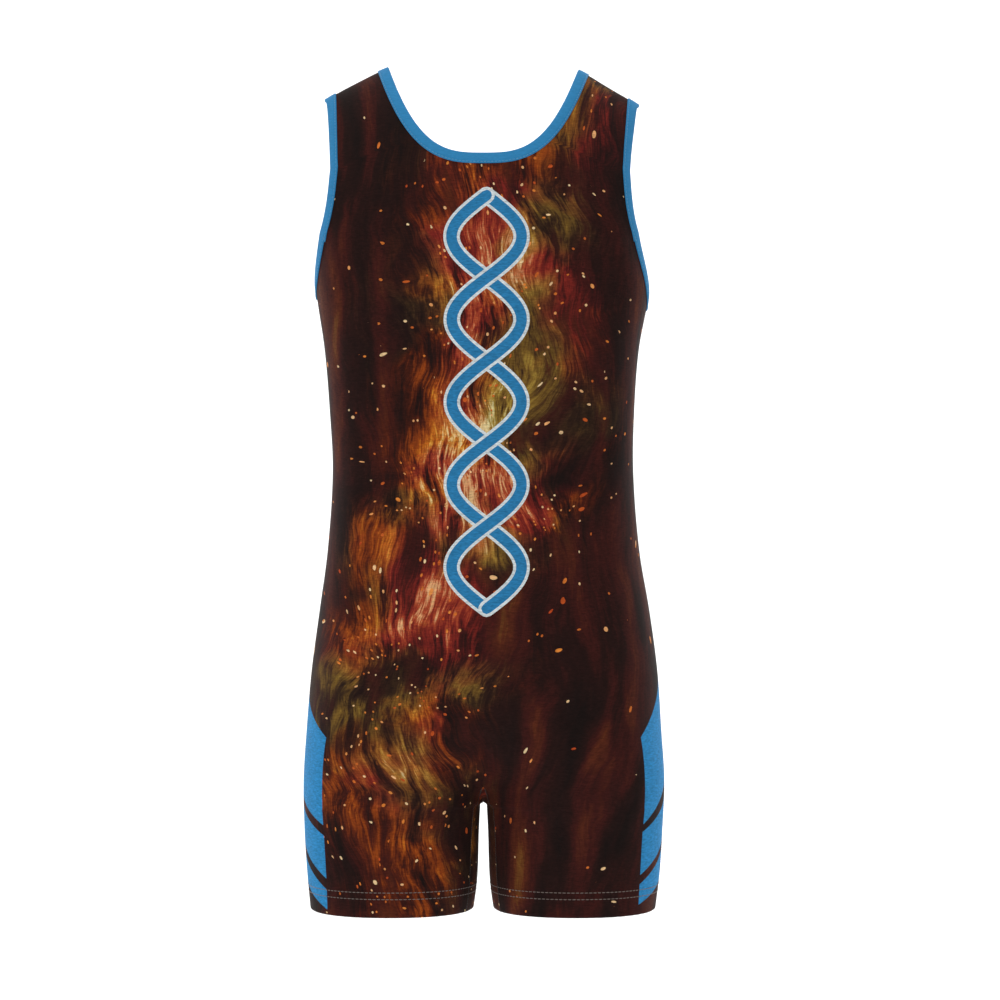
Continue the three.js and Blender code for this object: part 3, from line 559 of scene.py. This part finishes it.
def ramp(tree, value, stops):
    """The colour that belongs to a value, from stops of position and hex colour."""
    made = node(tree, "ValToRGB", {"Fac": value})
    while len(made.color_ramp.elements) < len(stops):
        made.color_ramp.elements.new(1.0)
    for i, (position, code) in enumerate(stops):
        made.color_ramp.elements[i].position = position
        made.color_ramp.elements[i].color = colour(code)
    return made.outputs[0]


def push_by(tree, vector, factor, start):
    """A start pushed on by a vector times a factor."""
    return node(tree, "VectorMath", {0: vector, 1: factor, 2: start},
                operation="MULTIPLY_ADD").outputs[0]


def streaks(tree, vector, turn, scale, detail, rough, distortion):
    """Noise drawn out into streaks that lean by a turn."""
    lean = node(tree, "Mapping", {"Vector": vector, "Rotation": (0.0, 0.0, turn), "Scale": scale})
    return node(tree, "TexNoise", {"Vector": lean.outputs[0], "Scale": 1.0, "Detail": detail,
                                   "Roughness": rough, "Distortion": distortion}).outputs[0]


def loose_grid(tree, vector, scale):
    """Uneven cells: how far off a cell's middle a place is, and the cell's three random values."""
    cells = node(tree, "TexVoronoi", {"Vector": vector, "Scale": scale}, voronoi_dimensions="2D")
    return cells.outputs["Distance"], node(tree, "SeparateXYZ", {0: cells.outputs["Color"]}).outputs


def knit_surface(tree, shade, fleck, sheen):
    """Fine jersey: loops about 1 mm apart in uneven yarn, matt, with a little bloom at grazing
    angles. fleck is how much the yarn's unevenness lightens and darkens the colour."""
    place = node(tree, "TexCoord").outputs["Object"]
    yarn = streaks(tree, place, 0.0, (190.0, 190.0, 760.0), 3.0, 0.65, 0.0)
    loops = node(tree, "Mapping", {"Vector": place, "Scale": (900.0, 900.0, 700.0)})
    loop = node(tree, "TexVoronoi", {"Vector": loops.outputs[0], "Scale": 1.0, "Randomness": 0.35})
    uneven = node(tree, "Bump", {"Height": yarn, "Strength": 0.30, "Distance": 0.0006})
    relief = node(tree, "Bump", {"Height": loop.outputs["Distance"], "Strength": 0.25,
                                 "Distance": 0.0004, "Normal": uneven.outputs[0]}, invert=True)
    flecks = spread(tree, yarn, 0.3, 0.7, 1 - fleck, 1 + fleck)
    flecked = node(tree, "VectorMath", {0: shade, "Scale": flecks}, operation="SCALE")
    lay_surface(tree, {
        "Base Color": flecked.outputs[0], "Roughness": 0.82, "IOR": 1.45,
        "Specular IOR Level": 0.15, "Sheen Weight": sheen, "Sheen Roughness": 0.5,
        "Sheen Tint": (1.0, 0.96, 0.92, 1.0), "Normal": relief.outputs[0]})


# The dye-sublimated print: dark smoke with drifting flame and sparks, a plain two-strand braid
# down the back, and three slanted side blocks on each leg. It lies in the yarn, so it has the
# knit's own dull surface.
SMOKE = [(0.0, "#190e0c"), (0.34, "#28120f"), (0.58, "#3f1713"), (0.80, "#5a2815"),
         (1.0, "#7a4d1f")]
FLAME = [(0.0, "#29100b"), (0.28, "#5c220e"), (0.50, "#9a4514"), (0.70, "#cf7420"),
         (0.86, "#ecb142"), (1.0, "#f8e7a6")]
EMBER = [(0.0, "#240f0e"), (0.28, "#4c1615"), (0.55, "#86281f"), (0.78, "#b8502f"),
         (1.0, "#eab27c")]
GOLD = [(0.0, "#1f160f"), (0.30, "#45301a"), (0.55, "#7a5a24"), (0.80, "#b0903c"),
        (1.0, "#ece2a8")]
GLOW = [(0.0, "#c04a1e"), (0.5, "#e88a38"), (1.0, "#f8dca8")]
BLOCK_BLUE = "#3190cc"
# The blocks' lower and upper edges, each by its height at the side and at the block's inner end,
# the distances from the side seam of those two, and how the inner end shortens towards the hem.
BLOCKS = {-1: [(-793.6, -819.2), (-765, -799.5), (-754.2, -787.7), (-714.7, -743.3),
               (-704.9, -732.5), (-607.7, -642.7)],
          1: [(-791.6, -813.5), (-760.5, -793.8), (-752, -783.9), (-708.8, -739.6),
              (-691.5, -732.2), (-594, -641.5)]}
BLOCK_SIDE, BLOCK_END = 18.0, 78.0
BLOCK_REACH = np.array([(-815, 67), (-785, 71), (-732, 75), (-645, 82)], float)
BRAID_BLUE, BRAID_EDGE = "#2f83b8", "#dfe8ea"
BRAID_TOP, BRAID_LOBE, BRAID_LOBES, BRAID_MIDDLE = -118.0, 80.0, 5, 3.5
BRAID_WIDTH, BRAID_CORD, BRAID_RIM, BRAID_FAR = 34.0, 5.2, 2.8, 20.0
FIRE_WIDTH, FIRE_MIDDLE, FIRE_LEAN, FIRE_SWAY, FIRE_WAVE = 80.0, 70.0, 0.24, 30.0, 0.013
FIRE_FADE = np.array([(-820, 0.62), (-640, 0.78), (-480, 1.0), (-260, 1.0), (-150, 0.78), (0, 0.6)])


def add_print(mesh, cloth):
    """Lays the print out on the flat cut. marks holds how far inside a side block a corner is, and
    its distances from the braid's two strands; glow holds how near the fire is, which strand lies
    on top, and how far in from the side a corner is as a share of the blocks' length."""
    across, up, inwards = cloth.T * 1000
    inner = ((inwards - BLOCK_SIDE) / (BLOCK_END - BLOCK_SIDE))[:, None]
    blocks = []
    for hand in (-1, 1):
        edge = np.array(BLOCKS[hand], float)
        height = edge[:, 0] + (edge[:, 1] - edge[:, 0]) * inner
        above, below = up[:, None] - height[:, ::2], height[:, 1::2] - up[:, None]
        blocks.append(np.minimum(above, below).max(1))
    turn = (BRAID_TOP - up) * math.pi / BRAID_LOBE
    run = np.linspace(0, BRAID_LOBES, 100 * BRAID_LOBES + 1)
    low = BRAID_TOP - BRAID_LOBE * run
    by_braid = np.abs(across - BRAID_MIDDLE) < BRAID_WIDTH + BRAID_FAR
    by_braid &= (up > low[-1] - BRAID_FAR) & (up < BRAID_TOP + BRAID_FAR)
    strands = np.full((2, len(up)), BRAID_FAR)
    for strand, side in zip(strands, (-1, 1)):
        wave = BRAID_MIDDLE + side * BRAID_WIDTH * np.sin(math.pi * run)
        strand[by_braid] = np.hypot(across[by_braid, None] - wave, up[by_braid, None] - low).min(1)
    band = FIRE_MIDDLE + FIRE_LEAN * up + FIRE_SWAY * np.sin(FIRE_WAVE * up)
    near = np.exp(-((across - band) / FIRE_WIDTH) ** 2 / 2)
    near *= np.interp(up, FIRE_FADE[:, 0], FIRE_FADE[:, 1])
    marks = np.stack([np.where(across < 0, *blocks), *strands], -1)
    reach = np.interp(up, BLOCK_REACH[:, 0], BLOCK_REACH[:, 1])
    glow = np.stack([near, np.cos(turn) / 2 + 0.5, inwards / reach], -1)
    for name, values in (("cloth", cloth), ("marks", marks), ("glow", glow)):
        layer = mesh.attributes.new(name, "FLOAT_VECTOR", "POINT")
        layer.data.foreach_set("vector", values.astype(np.float32).ravel())


def printed_knit(name, braided, start):
    """The print on its knit, from its own place in the pattern. Only the back has the braid."""
    material, tree = new_material(name)
    cloth, marks, glow = (node(tree, "Attribute", attribute_name=layer).outputs["Vector"]
                          for layer in ("cloth", "marks", "glow"))
    marks, glow = (node(tree, "SeparateXYZ", {0: layer}).outputs for layer in (marks, glow))
    flat = push_by(tree, cloth, (1.0, 1.0, 0.0), start)

    # Slow swirls push the pattern about, so that the tongues of flame curl.
    swirl = node(tree, "TexNoise", {"Vector": flat, "Scale": 5.5, "Detail": 3.0, "Roughness": 0.42})
    push = push_by(tree, swirl.outputs["Color"], (0.15, 0.15, 0.15), flat)
    tongues = streaks(tree, push, 0.42, (34.0, 9.0, 1.0), 7.0, 0.58, 0.5)
    ridge = ramp(tree, tongues, [(0.36, "#000000"), (0.50, "#ffffff"), (0.64, "#000000")])
    hair = streaks(tree, push, 0.5, (300.0, 44.0, 1.0), 5.0, 0.66, 0.9)
    hair = spread(tree, hair, 0.30, 0.70)
    heat = node(tree, "TexNoise", {"Vector": push, "Scale": 11.0, "Detail": 3.0}).outputs[0]
    heat = spread(tree, heat, 0.36, 0.66, 0.25, 1.1)
    wisps = node(tree, "Mix", {0: 0.52, 2: ridge, 3: hair}, data_type="FLOAT").outputs[0]
    fire = reckon(tree, "MULTIPLY", reckon(tree, "MULTIPLY", heat, glow[0]), wisps)
    fire = reckon(tree, "MULTIPLY", fire, 1.35)

    sway = push_by(tree, swirl.outputs["Color"], (0.06, 0.06, 0.06), flat)
    drift = streaks(tree, sway, 0.36, (26.0, 6.5, 1.0), 5.0, 0.46, 0.3)
    drift = node(tree, "Mix", {0: 0.07, 2: drift, 3: hair}, data_type="FLOAT").outputs[0]
    smoke = ramp(tree, spread(tree, drift, 0.34, 0.74), SMOKE)
    # The fire shifts between orange, crimson and old gold from place to place.
    flames = ramp(tree, fire, FLAME)
    hue = node(tree, "TexNoise", {"Vector": push, "Scale": 8.0, "Detail": 4.0})
    hue = node(tree, "SeparateXYZ", {0: hue.outputs["Color"]}).outputs
    for shift, stops in ((hue[0], EMBER), (hue[1], GOLD)):
        flames = lay_over(tree, spread(tree, shift, 0.48, 0.60), flames, ramp(tree, fire, stops))
    shade = lay_over(tree, spread(tree, fire, 0.10, 0.42), smoke, flames)

    # Sparks are small bright dots in a few of the cells of a loose grid, and dust is finer
    # still, and thickest where the fire is near.
    off, pick = loose_grid(tree, push, 55.0)
    spark = reckon(tree, "LESS_THAN", off, spread(tree, pick[0], 0.89, 1.0, 0.0, 0.16))
    shade = lay_over(tree, spark, shade, ramp(tree, pick[2], GLOW))
    off, pick = loose_grid(tree, push, 190.0)
    some = reckon(tree, "LESS_THAN", pick[0], reckon(tree, "MULTIPLY", glow[0], 0.11))
    dust = reckon(tree, "MULTIPLY", some, reckon(tree, "LESS_THAN", off, 0.24))
    shade = lay_over(tree, dust, shade, ramp(tree, pick[2], GLOW))

    # The braid's strands take turns on top; each is a pale rim with a blue cord in it.
    on_top = reckon(tree, "GREATER_THAN", glow[1], 0.5)
    for strand, shown in ((marks[1], 1.0), (marks[2], 1.0), (marks[1], on_top)) if braided else ():
        for reach, paint in ((BRAID_CORD + BRAID_RIM, BRAID_EDGE), (BRAID_CORD, BRAID_BLUE)):
            within = reckon(tree, "COMPARE", strand, 0.0, reach)
            shade = lay_over(tree, reckon(tree, "MULTIPLY", within, shown), shade, colour(paint))

    block = reckon(tree, "GREATER_THAN", marks[0], 0.0)
    block = reckon(tree, "MULTIPLY", block, reckon(tree, "LESS_THAN", glow[2], 1.0))
    knit_surface(tree, lay_over(tree, block, shade, colour(BLOCK_BLUE)), 0.30, 0.02)
    return material


# The knit's inside stays undyed: a plain warm white, dulled by the ink behind it.
bare_knit, tree = new_material("undyed inside of the knit")
knit_surface(tree, colour("#b3a8a2")[:3], 0.08, 0.05)

back = panel("back_panel_cloth", -1)
dress(back, printed_knit("printed stretch knit, back", True, (0.0, 0.0, 0.0)), bare_knit)
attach(back, "root")
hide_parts("back_panel")

# Front panel: cut like the back, with a deeper neck and wider armholes, from the same printed
# cloth. The side blocks run on round the side seams, and there is no braid.

front = panel("front_panel_cloth", 1)
plain_print = printed_knit("printed stretch knit, front and gusset", False, (0.83, 0.41, 0.0))
dress(front, plain_print, bare_knit)
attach(front, "root")
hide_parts("front_panel")

# Crotch gusset: one strip of the same knit from hem to hem, up one inner thigh, over the crotch
# and down the other, pointed where it meets the panels' centre. It lets the legs move apart.

GUSSET_COLUMNS = 12


def gusset(name):
    rows = list(range(len(LEG_ROWS)))
    stations = [(-1, r) for r in rows] + [(1, r) for r in rows[:-1][::-1]]
    k = np.arange(-GUSSET_COLUMNS, GUSSET_COLUMNS + 1)
    share = np.abs(k) / GUSSET_COLUMNS
    face = np.where(k < 0, -1, 1)
    grid, edges = [], []
    for hand, r in stations:
        seam = LEG_ROWS[r]
        climb = np.clip((GUSSET_TIP - seam) / (GUSSET_TIP - GUSSET_FLAT), 0, 1)
        fall = (GUSSET_FLAT - CROTCH) * climb ** GUSSET_SPREAD
        inner = CROTCH + fall if seam > GUSSET_FLAT else seam
        up = inner + (seam - inner) * share * share
        grid.append(cloth_point(face, hand, gusset_share(seam) * share, up))
        edges.append(cloth_frame(np.array([-1, 1]), hand, gusset_share(seam), seam)[2])
    grid, edges = np.array(grid), np.array(edges)
    station = np.arange(len(grid))
    along = grid[np.minimum(station + 1, station[-1])] - grid[np.maximum(station - 1, 0)]
    normal = np.zeros(grid.shape)
    normal[:, 1:-1] = np.cross(grid[:, 2:] - grid[:, :-2], along[:, 1:-1])
    normal[:, 0], normal[:, -1] = edges[:, 0], edges[:, 1]
    normal /= np.linalg.norm(normal, axis=-1, keepdims=True)
    number = np.arange(grid.shape[0] * grid.shape[1]).reshape(grid.shape[:2])
    outer, normal = grid.reshape(-1, 3), normal.reshape(-1, 3)
    part_seam(outer, normal, number[:, 0], number[:, 1], SEAM_GAP / 2)
    part_seam(outer, normal, number[:, -1], number[:, -2], SEAM_GAP / 2)
    quads = cells_of(number).reshape(-1, 4)
    hem = np.repeat([r < HEM_ROWS for _, r in stations], len(k))
    past_blocks = np.full(len(outer), 200.0)
    cloth = np.stack([outer[:, 1] + outer[:, 0], outer[:, 2], past_blocks], -1) / 1000
    folded = np.nonzero(outer[:, 2] < HEM + 0.01)[0]
    return add_shell(name, outer, normal, np.where(hem, HEM_CLOTH, CLOTH), quads, cloth, folded)


crotch = gusset("crotch_gusset_cloth")
dress(crotch, plain_print, bare_knit)
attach(crotch, "root")
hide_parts("crotch_gusset")

# Neck binding: a strip of plain blue knit, folded over the raw neck edge all the way round and
# sewn down on both faces, so it is rounded at the fold and stands a little proud of the print.

BINDING_CLOTH, BINDING_LIFT, SAME_PLACE = 0.9, 0.3, 0.05
BINDING_LIP, BINDING_TURN, BINDING_BULGE = 0.35, 0.035, 0.12
BINDING_BLUE = "#388ec5"


def half_edge(face, hand, edge_name):
    """One face's half of an opening, from the centre or side seam up to the shoulder seam: the
    points and normals of the raw edge and of the line one binding inside it."""
    edge = HALVES[face, hand][edge_name]
    found = []
    for places in (np.concatenate([edge["bottom"], edge["side"][1:]]),
                   np.concatenate([edge["bottom_in"], edge["side_in"][1:]])):
        points = cloth_point(face, hand, places[:, 0], places[:, 1])
        normal = cloth_frame(face, hand, places[:, 0], places[:, 1])[2]
        found += [points + normal * drape(points, normal)[:, None], normal]
    return np.stack(found, 1)


def whole_edge(sides, edge_name):
    """All the way round an opening: its halves taken in turn up and down, with no corner twice.
    It gives the edge, its normals, the line one binding inside and that line's normals."""
    halves = [half_edge(face, hand, edge_name) for face, hand in sides]
    stations = np.concatenate([half[::-1] if k % 2 else half for k, half in enumerate(halves)])
    apart = np.linalg.norm(stations[:, 0] - np.roll(stations[:, 0], 1, axis=0), axis=1)
    return stations[apart > SAME_PLACE].transpose(1, 0, 2)


def binding(name, whole):
    """A folded strip round an opening."""
    edge, edge_normal, inset, inset_normal = whole
    out = (edge - inset) / np.linalg.norm(edge - inset, axis=1, keepdims=True)
    near_out, far_out = BINDING_LIFT, BINDING_LIFT + BINDING_CLOTH
    near_in, far_in = -CLOTH - near_out, -CLOTH - far_out
    middle, half = (far_out + far_in) / 2, (far_out - far_in) / 2
    profile = [inset + inset_normal * (far_out - BINDING_LIP)]
    for share, depth in ((BINDING_TURN, far_out), (0.5, far_out + BINDING_BULGE), (1.0, far_out)):
        base = inset + (edge - inset) * share + out * BINDING_LIFT * share
        mixed = inset_normal + (edge_normal - inset_normal) * share
        profile.append(base + mixed * depth)
    for turn in np.linspace(0, math.pi, 9)[1:-1]:
        reach = BINDING_LIFT + BINDING_CLOTH * math.sin(turn)
        profile.append(edge + out * reach + edge_normal * (middle + half * math.cos(turn)))
    profile += [edge + out * BINDING_LIFT + edge_normal * far_in, inset + inset_normal * far_in,
                inset + inset_normal * near_in, edge + out * BINDING_LIFT + edge_normal * near_in,
                edge + out * BINDING_LIFT + edge_normal * near_out, inset + inset_normal * near_out]
    points = np.stack(profile, 1).reshape(-1, 3)
    number = np.arange(len(points)).reshape(len(edge), len(profile))
    after = np.roll(number, -1, axis=0)
    quads = np.stack([number, np.roll(number, -1, axis=1), np.roll(after, -1, axis=1), after], -1)
    quads = quads.reshape(-1, 4)
    a, b, c = points[quads[:, 0]], points[quads[:, 1]], points[quads[:, 2]]
    if (a * np.cross(b, c)).sum() < 0:
        quads = quads[:, ::-1]
    return add_object(name, points, quads.tolist(), 60)


# One plain dyed blue, dull like the rest of the knit, a little brighter where it turns away.
blue_knit, tree = new_material("blue binding knit")
knit_surface(tree, colour(BINDING_BLUE)[:3], 0.10, 0.03)

neck_edges = whole_edge(((-1, 1), (1, 1), (1, -1), (-1, -1)), "neck")
neck = binding("neck_binding_cloth", neck_edges)
dress(neck, blue_knit)
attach(neck, "root")
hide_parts("neck_binding")

# Armhole bindings: the same strip, folded over the armholes' edges in the same way, from the
# bottom under the arm up both faces to the shoulder seam.

armhole_edges, armholes = [], []
for hand, side in ((-1, "left"), (1, "right")):
    armhole_edges.append(whole_edge(((-1, hand), (1, hand)), "armhole"))
    ring = binding(f"armhole_binding_{side}_cloth", armhole_edges[-1])
    dress(ring, blue_knit)
    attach(ring, "root")
    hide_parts(f"armhole_binding_{side}")
    armholes.append(ring)

# Stitches: the turned-up hems are held by two rows of thread, 18.5 and 25 mm above the fold,
# and each binding by one row near its inner edge. That row is real thread, and its blue is kept
# lighter than the binding's as a painted highlight along the binding's edge. Every stitch is a
# short bead of thread.

HEM_STITCH, HEM_STITCH_GAP, HEM_THREAD = 3.6, 0.7, 0.42
TRIM_STITCH, TRIM_STITCH_GAP, TRIM_THREAD = 2.6, 0.9, 0.45
TRIM_FROM_INSIDE, TRIM_RISE = 0.14, 0.05
HEM_STITCH_ROWS = (18.5, 25.0)
# A bead is four rings of six corners: how far along it each ring is, how wide and how high.
BEAD_ALONG, BEAD_SIDES = (0.0, 0.22, 0.78, 1.0), 6
BEAD_WIDE, BEAD_HIGH = (0.25, 1.0, 1.0, 0.25), (-0.15, 0.35, 0.35, -0.15)


def stitch_row(points, normals, length, gap, thread, closed=False):
    """Beads of thread along a line on the cloth, as corners and faces."""
    if closed:
        points, normals = np.vstack([points, points[:1]]), np.vstack([normals, normals[:1]])
    run = np.concatenate([[0], np.cumsum(np.linalg.norm(np.diff(points, axis=0), axis=1))])
    count = max(int(run[-1] / (length + gap)), 1)
    step = run[-1] / count
    share = np.array(BEAD_ALONG) - 0.5
    at = ((np.arange(count)[:, None] + 0.5) * step + share * length).ravel()
    place = np.stack([np.interp(at, run, points[:, i]) for i in range(3)], -1)
    normal = np.stack([np.interp(at, run, normals[:, i]) for i in range(3)], -1)
    normal /= np.linalg.norm(normal, axis=1, keepdims=True)
    ahead, behind = (np.stack([np.interp(at + step, run, points[:, i]) for i in range(3)], -1)
                     for step in (0.5, -0.5))
    along = ahead - behind
    side = np.cross(along, normal)
    side /= np.maximum(np.linalg.norm(side, axis=1, keepdims=True), 1e-9)
    wide, high = (np.tile(shares, count)[:, None] * thread for shares in (BEAD_WIDE, BEAD_HIGH))
    turns = np.radians([0, 60, 120, 180, 240, 300])
    corners = [place + normal * (high + wide * 0.5 * math.sin(turn)) + side * wide * math.cos(turn)
               for turn in turns]
    corners = np.stack(corners, 1).reshape(-1, 3)
    faces = []
    for base in range(0, len(corners), 4 * BEAD_SIDES):
        for ring in range(base, base + 3 * BEAD_SIDES, BEAD_SIDES):
            for k in range(BEAD_SIDES):
                a, b = ring + k, ring + (k + 1) % BEAD_SIDES
                faces.append((a, b, b + BEAD_SIDES, a + BEAD_SIDES))
        faces.append(tuple(range(base + BEAD_SIDES - 1, base - 1, -1)))
        faces.append(tuple(range(base + 3 * BEAD_SIDES, base + 4 * BEAD_SIDES)))
    return corners, faces


def stitches(name, rows, code):
    """One object of all the given rows, in thread of one colour."""
    corners, faces = [], []
    for row_corners, row_faces in rows:
        base = sum(len(c) for c in corners)
        corners.append(row_corners)
        faces += [tuple(base + v for v in face) for face in row_faces]
    piece = add_object(name, np.concatenate(corners), faces)
    thread, tree = new_material(name + " thread")
    # Spun polyester thread: smoother than the knit, with a soft satin light along it.
    lay_surface(tree, {"Base Color": colour(code), "Roughness": 0.5, "IOR": 1.5,
                       "Sheen Weight": 0.2})
    dress(piece, thread)
    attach(piece, "root")
    return piece


def cloth_line(parts):
    """Points and normals along (face, hand, around, up) runs on the worn cloth."""
    points = np.concatenate([cloth_point(*part) for part in parts])
    normals = np.concatenate([cloth_frame(*part)[2] for part in parts])
    return points + normals * drape(points, normals)[:, None], normals


hem_rows = []
for hand in (-1, 1):
    for height in HEM_STITCH_ROWS:
        around = np.linspace(0, 1, 160)[:-1]
        up = np.full(around.shape, HEM + height)
        loop = cloth_line([(-1, hand, around, up), (1, hand, 1 - around, up)])
        hem_rows.append(stitch_row(*loop, HEM_STITCH, HEM_STITCH_GAP, HEM_THREAD, True))
hem_stitches = stitches("hem_stitches", hem_rows, "#74665e")

trim_rows = []
for edge, edge_normal, inset, inset_normal in (neck_edges, *armhole_edges):
    normal = inset_normal + (edge_normal - inset_normal) * TRIM_FROM_INSIDE
    points = inset + (edge - inset) * TRIM_FROM_INSIDE
    points += normal * (BINDING_LIFT + BINDING_CLOTH + TRIM_RISE)
    trim_rows.append(stitch_row(points, normal, TRIM_STITCH, TRIM_STITCH_GAP, TRIM_THREAD, True))
# The binding thread's lighter blue is a painted highlight along the binding's inner edge.
painted_highlight_binding_stitches = stitches("binding_stitches_painted_highlight", trim_rows, "#4b97c8")

# Seams: side, shoulder and gusset seams are overlocked inside. Outside they show as a thin
# closed line with the sewing thread just visible in it.

SEAM_STITCH, SEAM_STITCH_GAP, SEAM_THREAD = 2.2, 0.25, 0.55
seam_runs = []
for hand in (-1, 1):
    top = HALVES[-1, hand]["armhole"]["bottom"][0, 1]
    up = np.linspace(HEM, top, 200)
    seam_runs.append(cloth_line([(-1, hand, np.full(up.shape, 1.0), up)]))
    neck_up = HALVES[-1, hand]["neck"]["side_in"][-1, 0]
    arm_up = HALVES[-1, hand]["armhole"]["side_in"][-1, 0]
    around = np.linspace(neck_up, arm_up, 40)
    seam_runs.append(cloth_line([(-1, hand, around, np.full(around.shape, CREST))]))
    for face in (-1, 1):
        up = LEG_ROWS[:-1]
        seam_runs.append(cloth_line([(face, hand, gusset_share(up), up)]))
seams = stitches("seam_lines", [
    stitch_row(*run, SEAM_STITCH, SEAM_STITCH_GAP, SEAM_THREAD) for run in seam_runs], "#2c201c")

# Studio: a white paper sweep behind and under the garment.

SWEEP_WIDTH, SWEEP_FLOOR, SWEEP_TOP = 16.0, -1.15, 5.0
SWEEP_FRONT, SWEEP_BACK, SWEEP_ROUND = -7.0, 4.4, 1.0
curve = [(SWEEP_FRONT, SWEEP_FLOOR)]
for turn in np.linspace(0, math.pi / 2, 24):
    curve.append((SWEEP_BACK - SWEEP_ROUND * (1 - math.sin(turn)),
                  SWEEP_FLOOR + SWEEP_ROUND * (1 - math.cos(turn))))
curve.append((SWEEP_BACK, SWEEP_TOP))
corners = [(side * SWEEP_WIDTH * 500, y * 1000, z * 1000) for y, z in curve for side in (-1, 1)]
faces = [(2 * i, 2 * i + 1, 2 * i + 3, 2 * i + 2) for i in range(len(curve) - 1)]
sweep = add_object("sweep", corners, faces)
# Matt white paper that returns nearly all of the light.
paper, tree = new_material("white paper sweep")
lay_surface(tree, {"Base Color": (0.93, 0.93, 0.93, 1.0), "Roughness": 0.9, "IOR": 1.45})
dress(sweep, paper)

world = bpy.data.worlds.new("studio")
bpy.context.scene.world = world
world.use_nodes = True
air = world.node_tree.nodes["Background"].inputs
air["Color"].default_value, air["Strength"].default_value = (1.0, 1.0, 1.0, 1.0), 0.45

# Two big soft boxes in front, one above, and two low ones for the backdrop.
LIGHTS = [("key", (-1.6, -3.0, 1.3), (0.0, 0.0, -0.4), 2.2, 28.0),
          ("fill", (2.0, -2.8, 0.2), (0.0, 0.0, -0.4), 2.2, 4.5),
          ("top", (0.0, 0.2, 2.1), (0.0, 0.0, -0.3), 1.6, 14.0),
          ("backdrop left", (-3.0, 2.5, 0.6), (0.0, 4.4, -0.3), 1.6, 95.0),
          ("backdrop right", (3.0, 2.5, 0.6), (0.0, 4.4, -0.3), 1.6, 95.0)]
for name, at, target, size, watts in LIGHTS:
    data = bpy.data.lights.new(name, "AREA")
    data.shape, data.size, data.energy = "SQUARE", size, watts
    lamp = link_object(name, data)
    lamp.location = at
    lamp.visible_camera = False
    lamp.rotation_euler = (Vector(target) - Vector(at)).to_track_quat("-Z", "Y").to_euler()

# The photograph's own plain colours, with no film curve.
bpy.context.scene.view_settings.view_transform = "Standard"

camera = bpy.data.cameras.new("camera")
camera.lens, camera.sensor_width = 115.2, 36.0
view = link_object("camera", camera)
view.location = (0.0165, -3.2, -0.413)
view.rotation_euler = (math.radians(90), 0.0, 0.0)
bpy.context.scene.camera = view
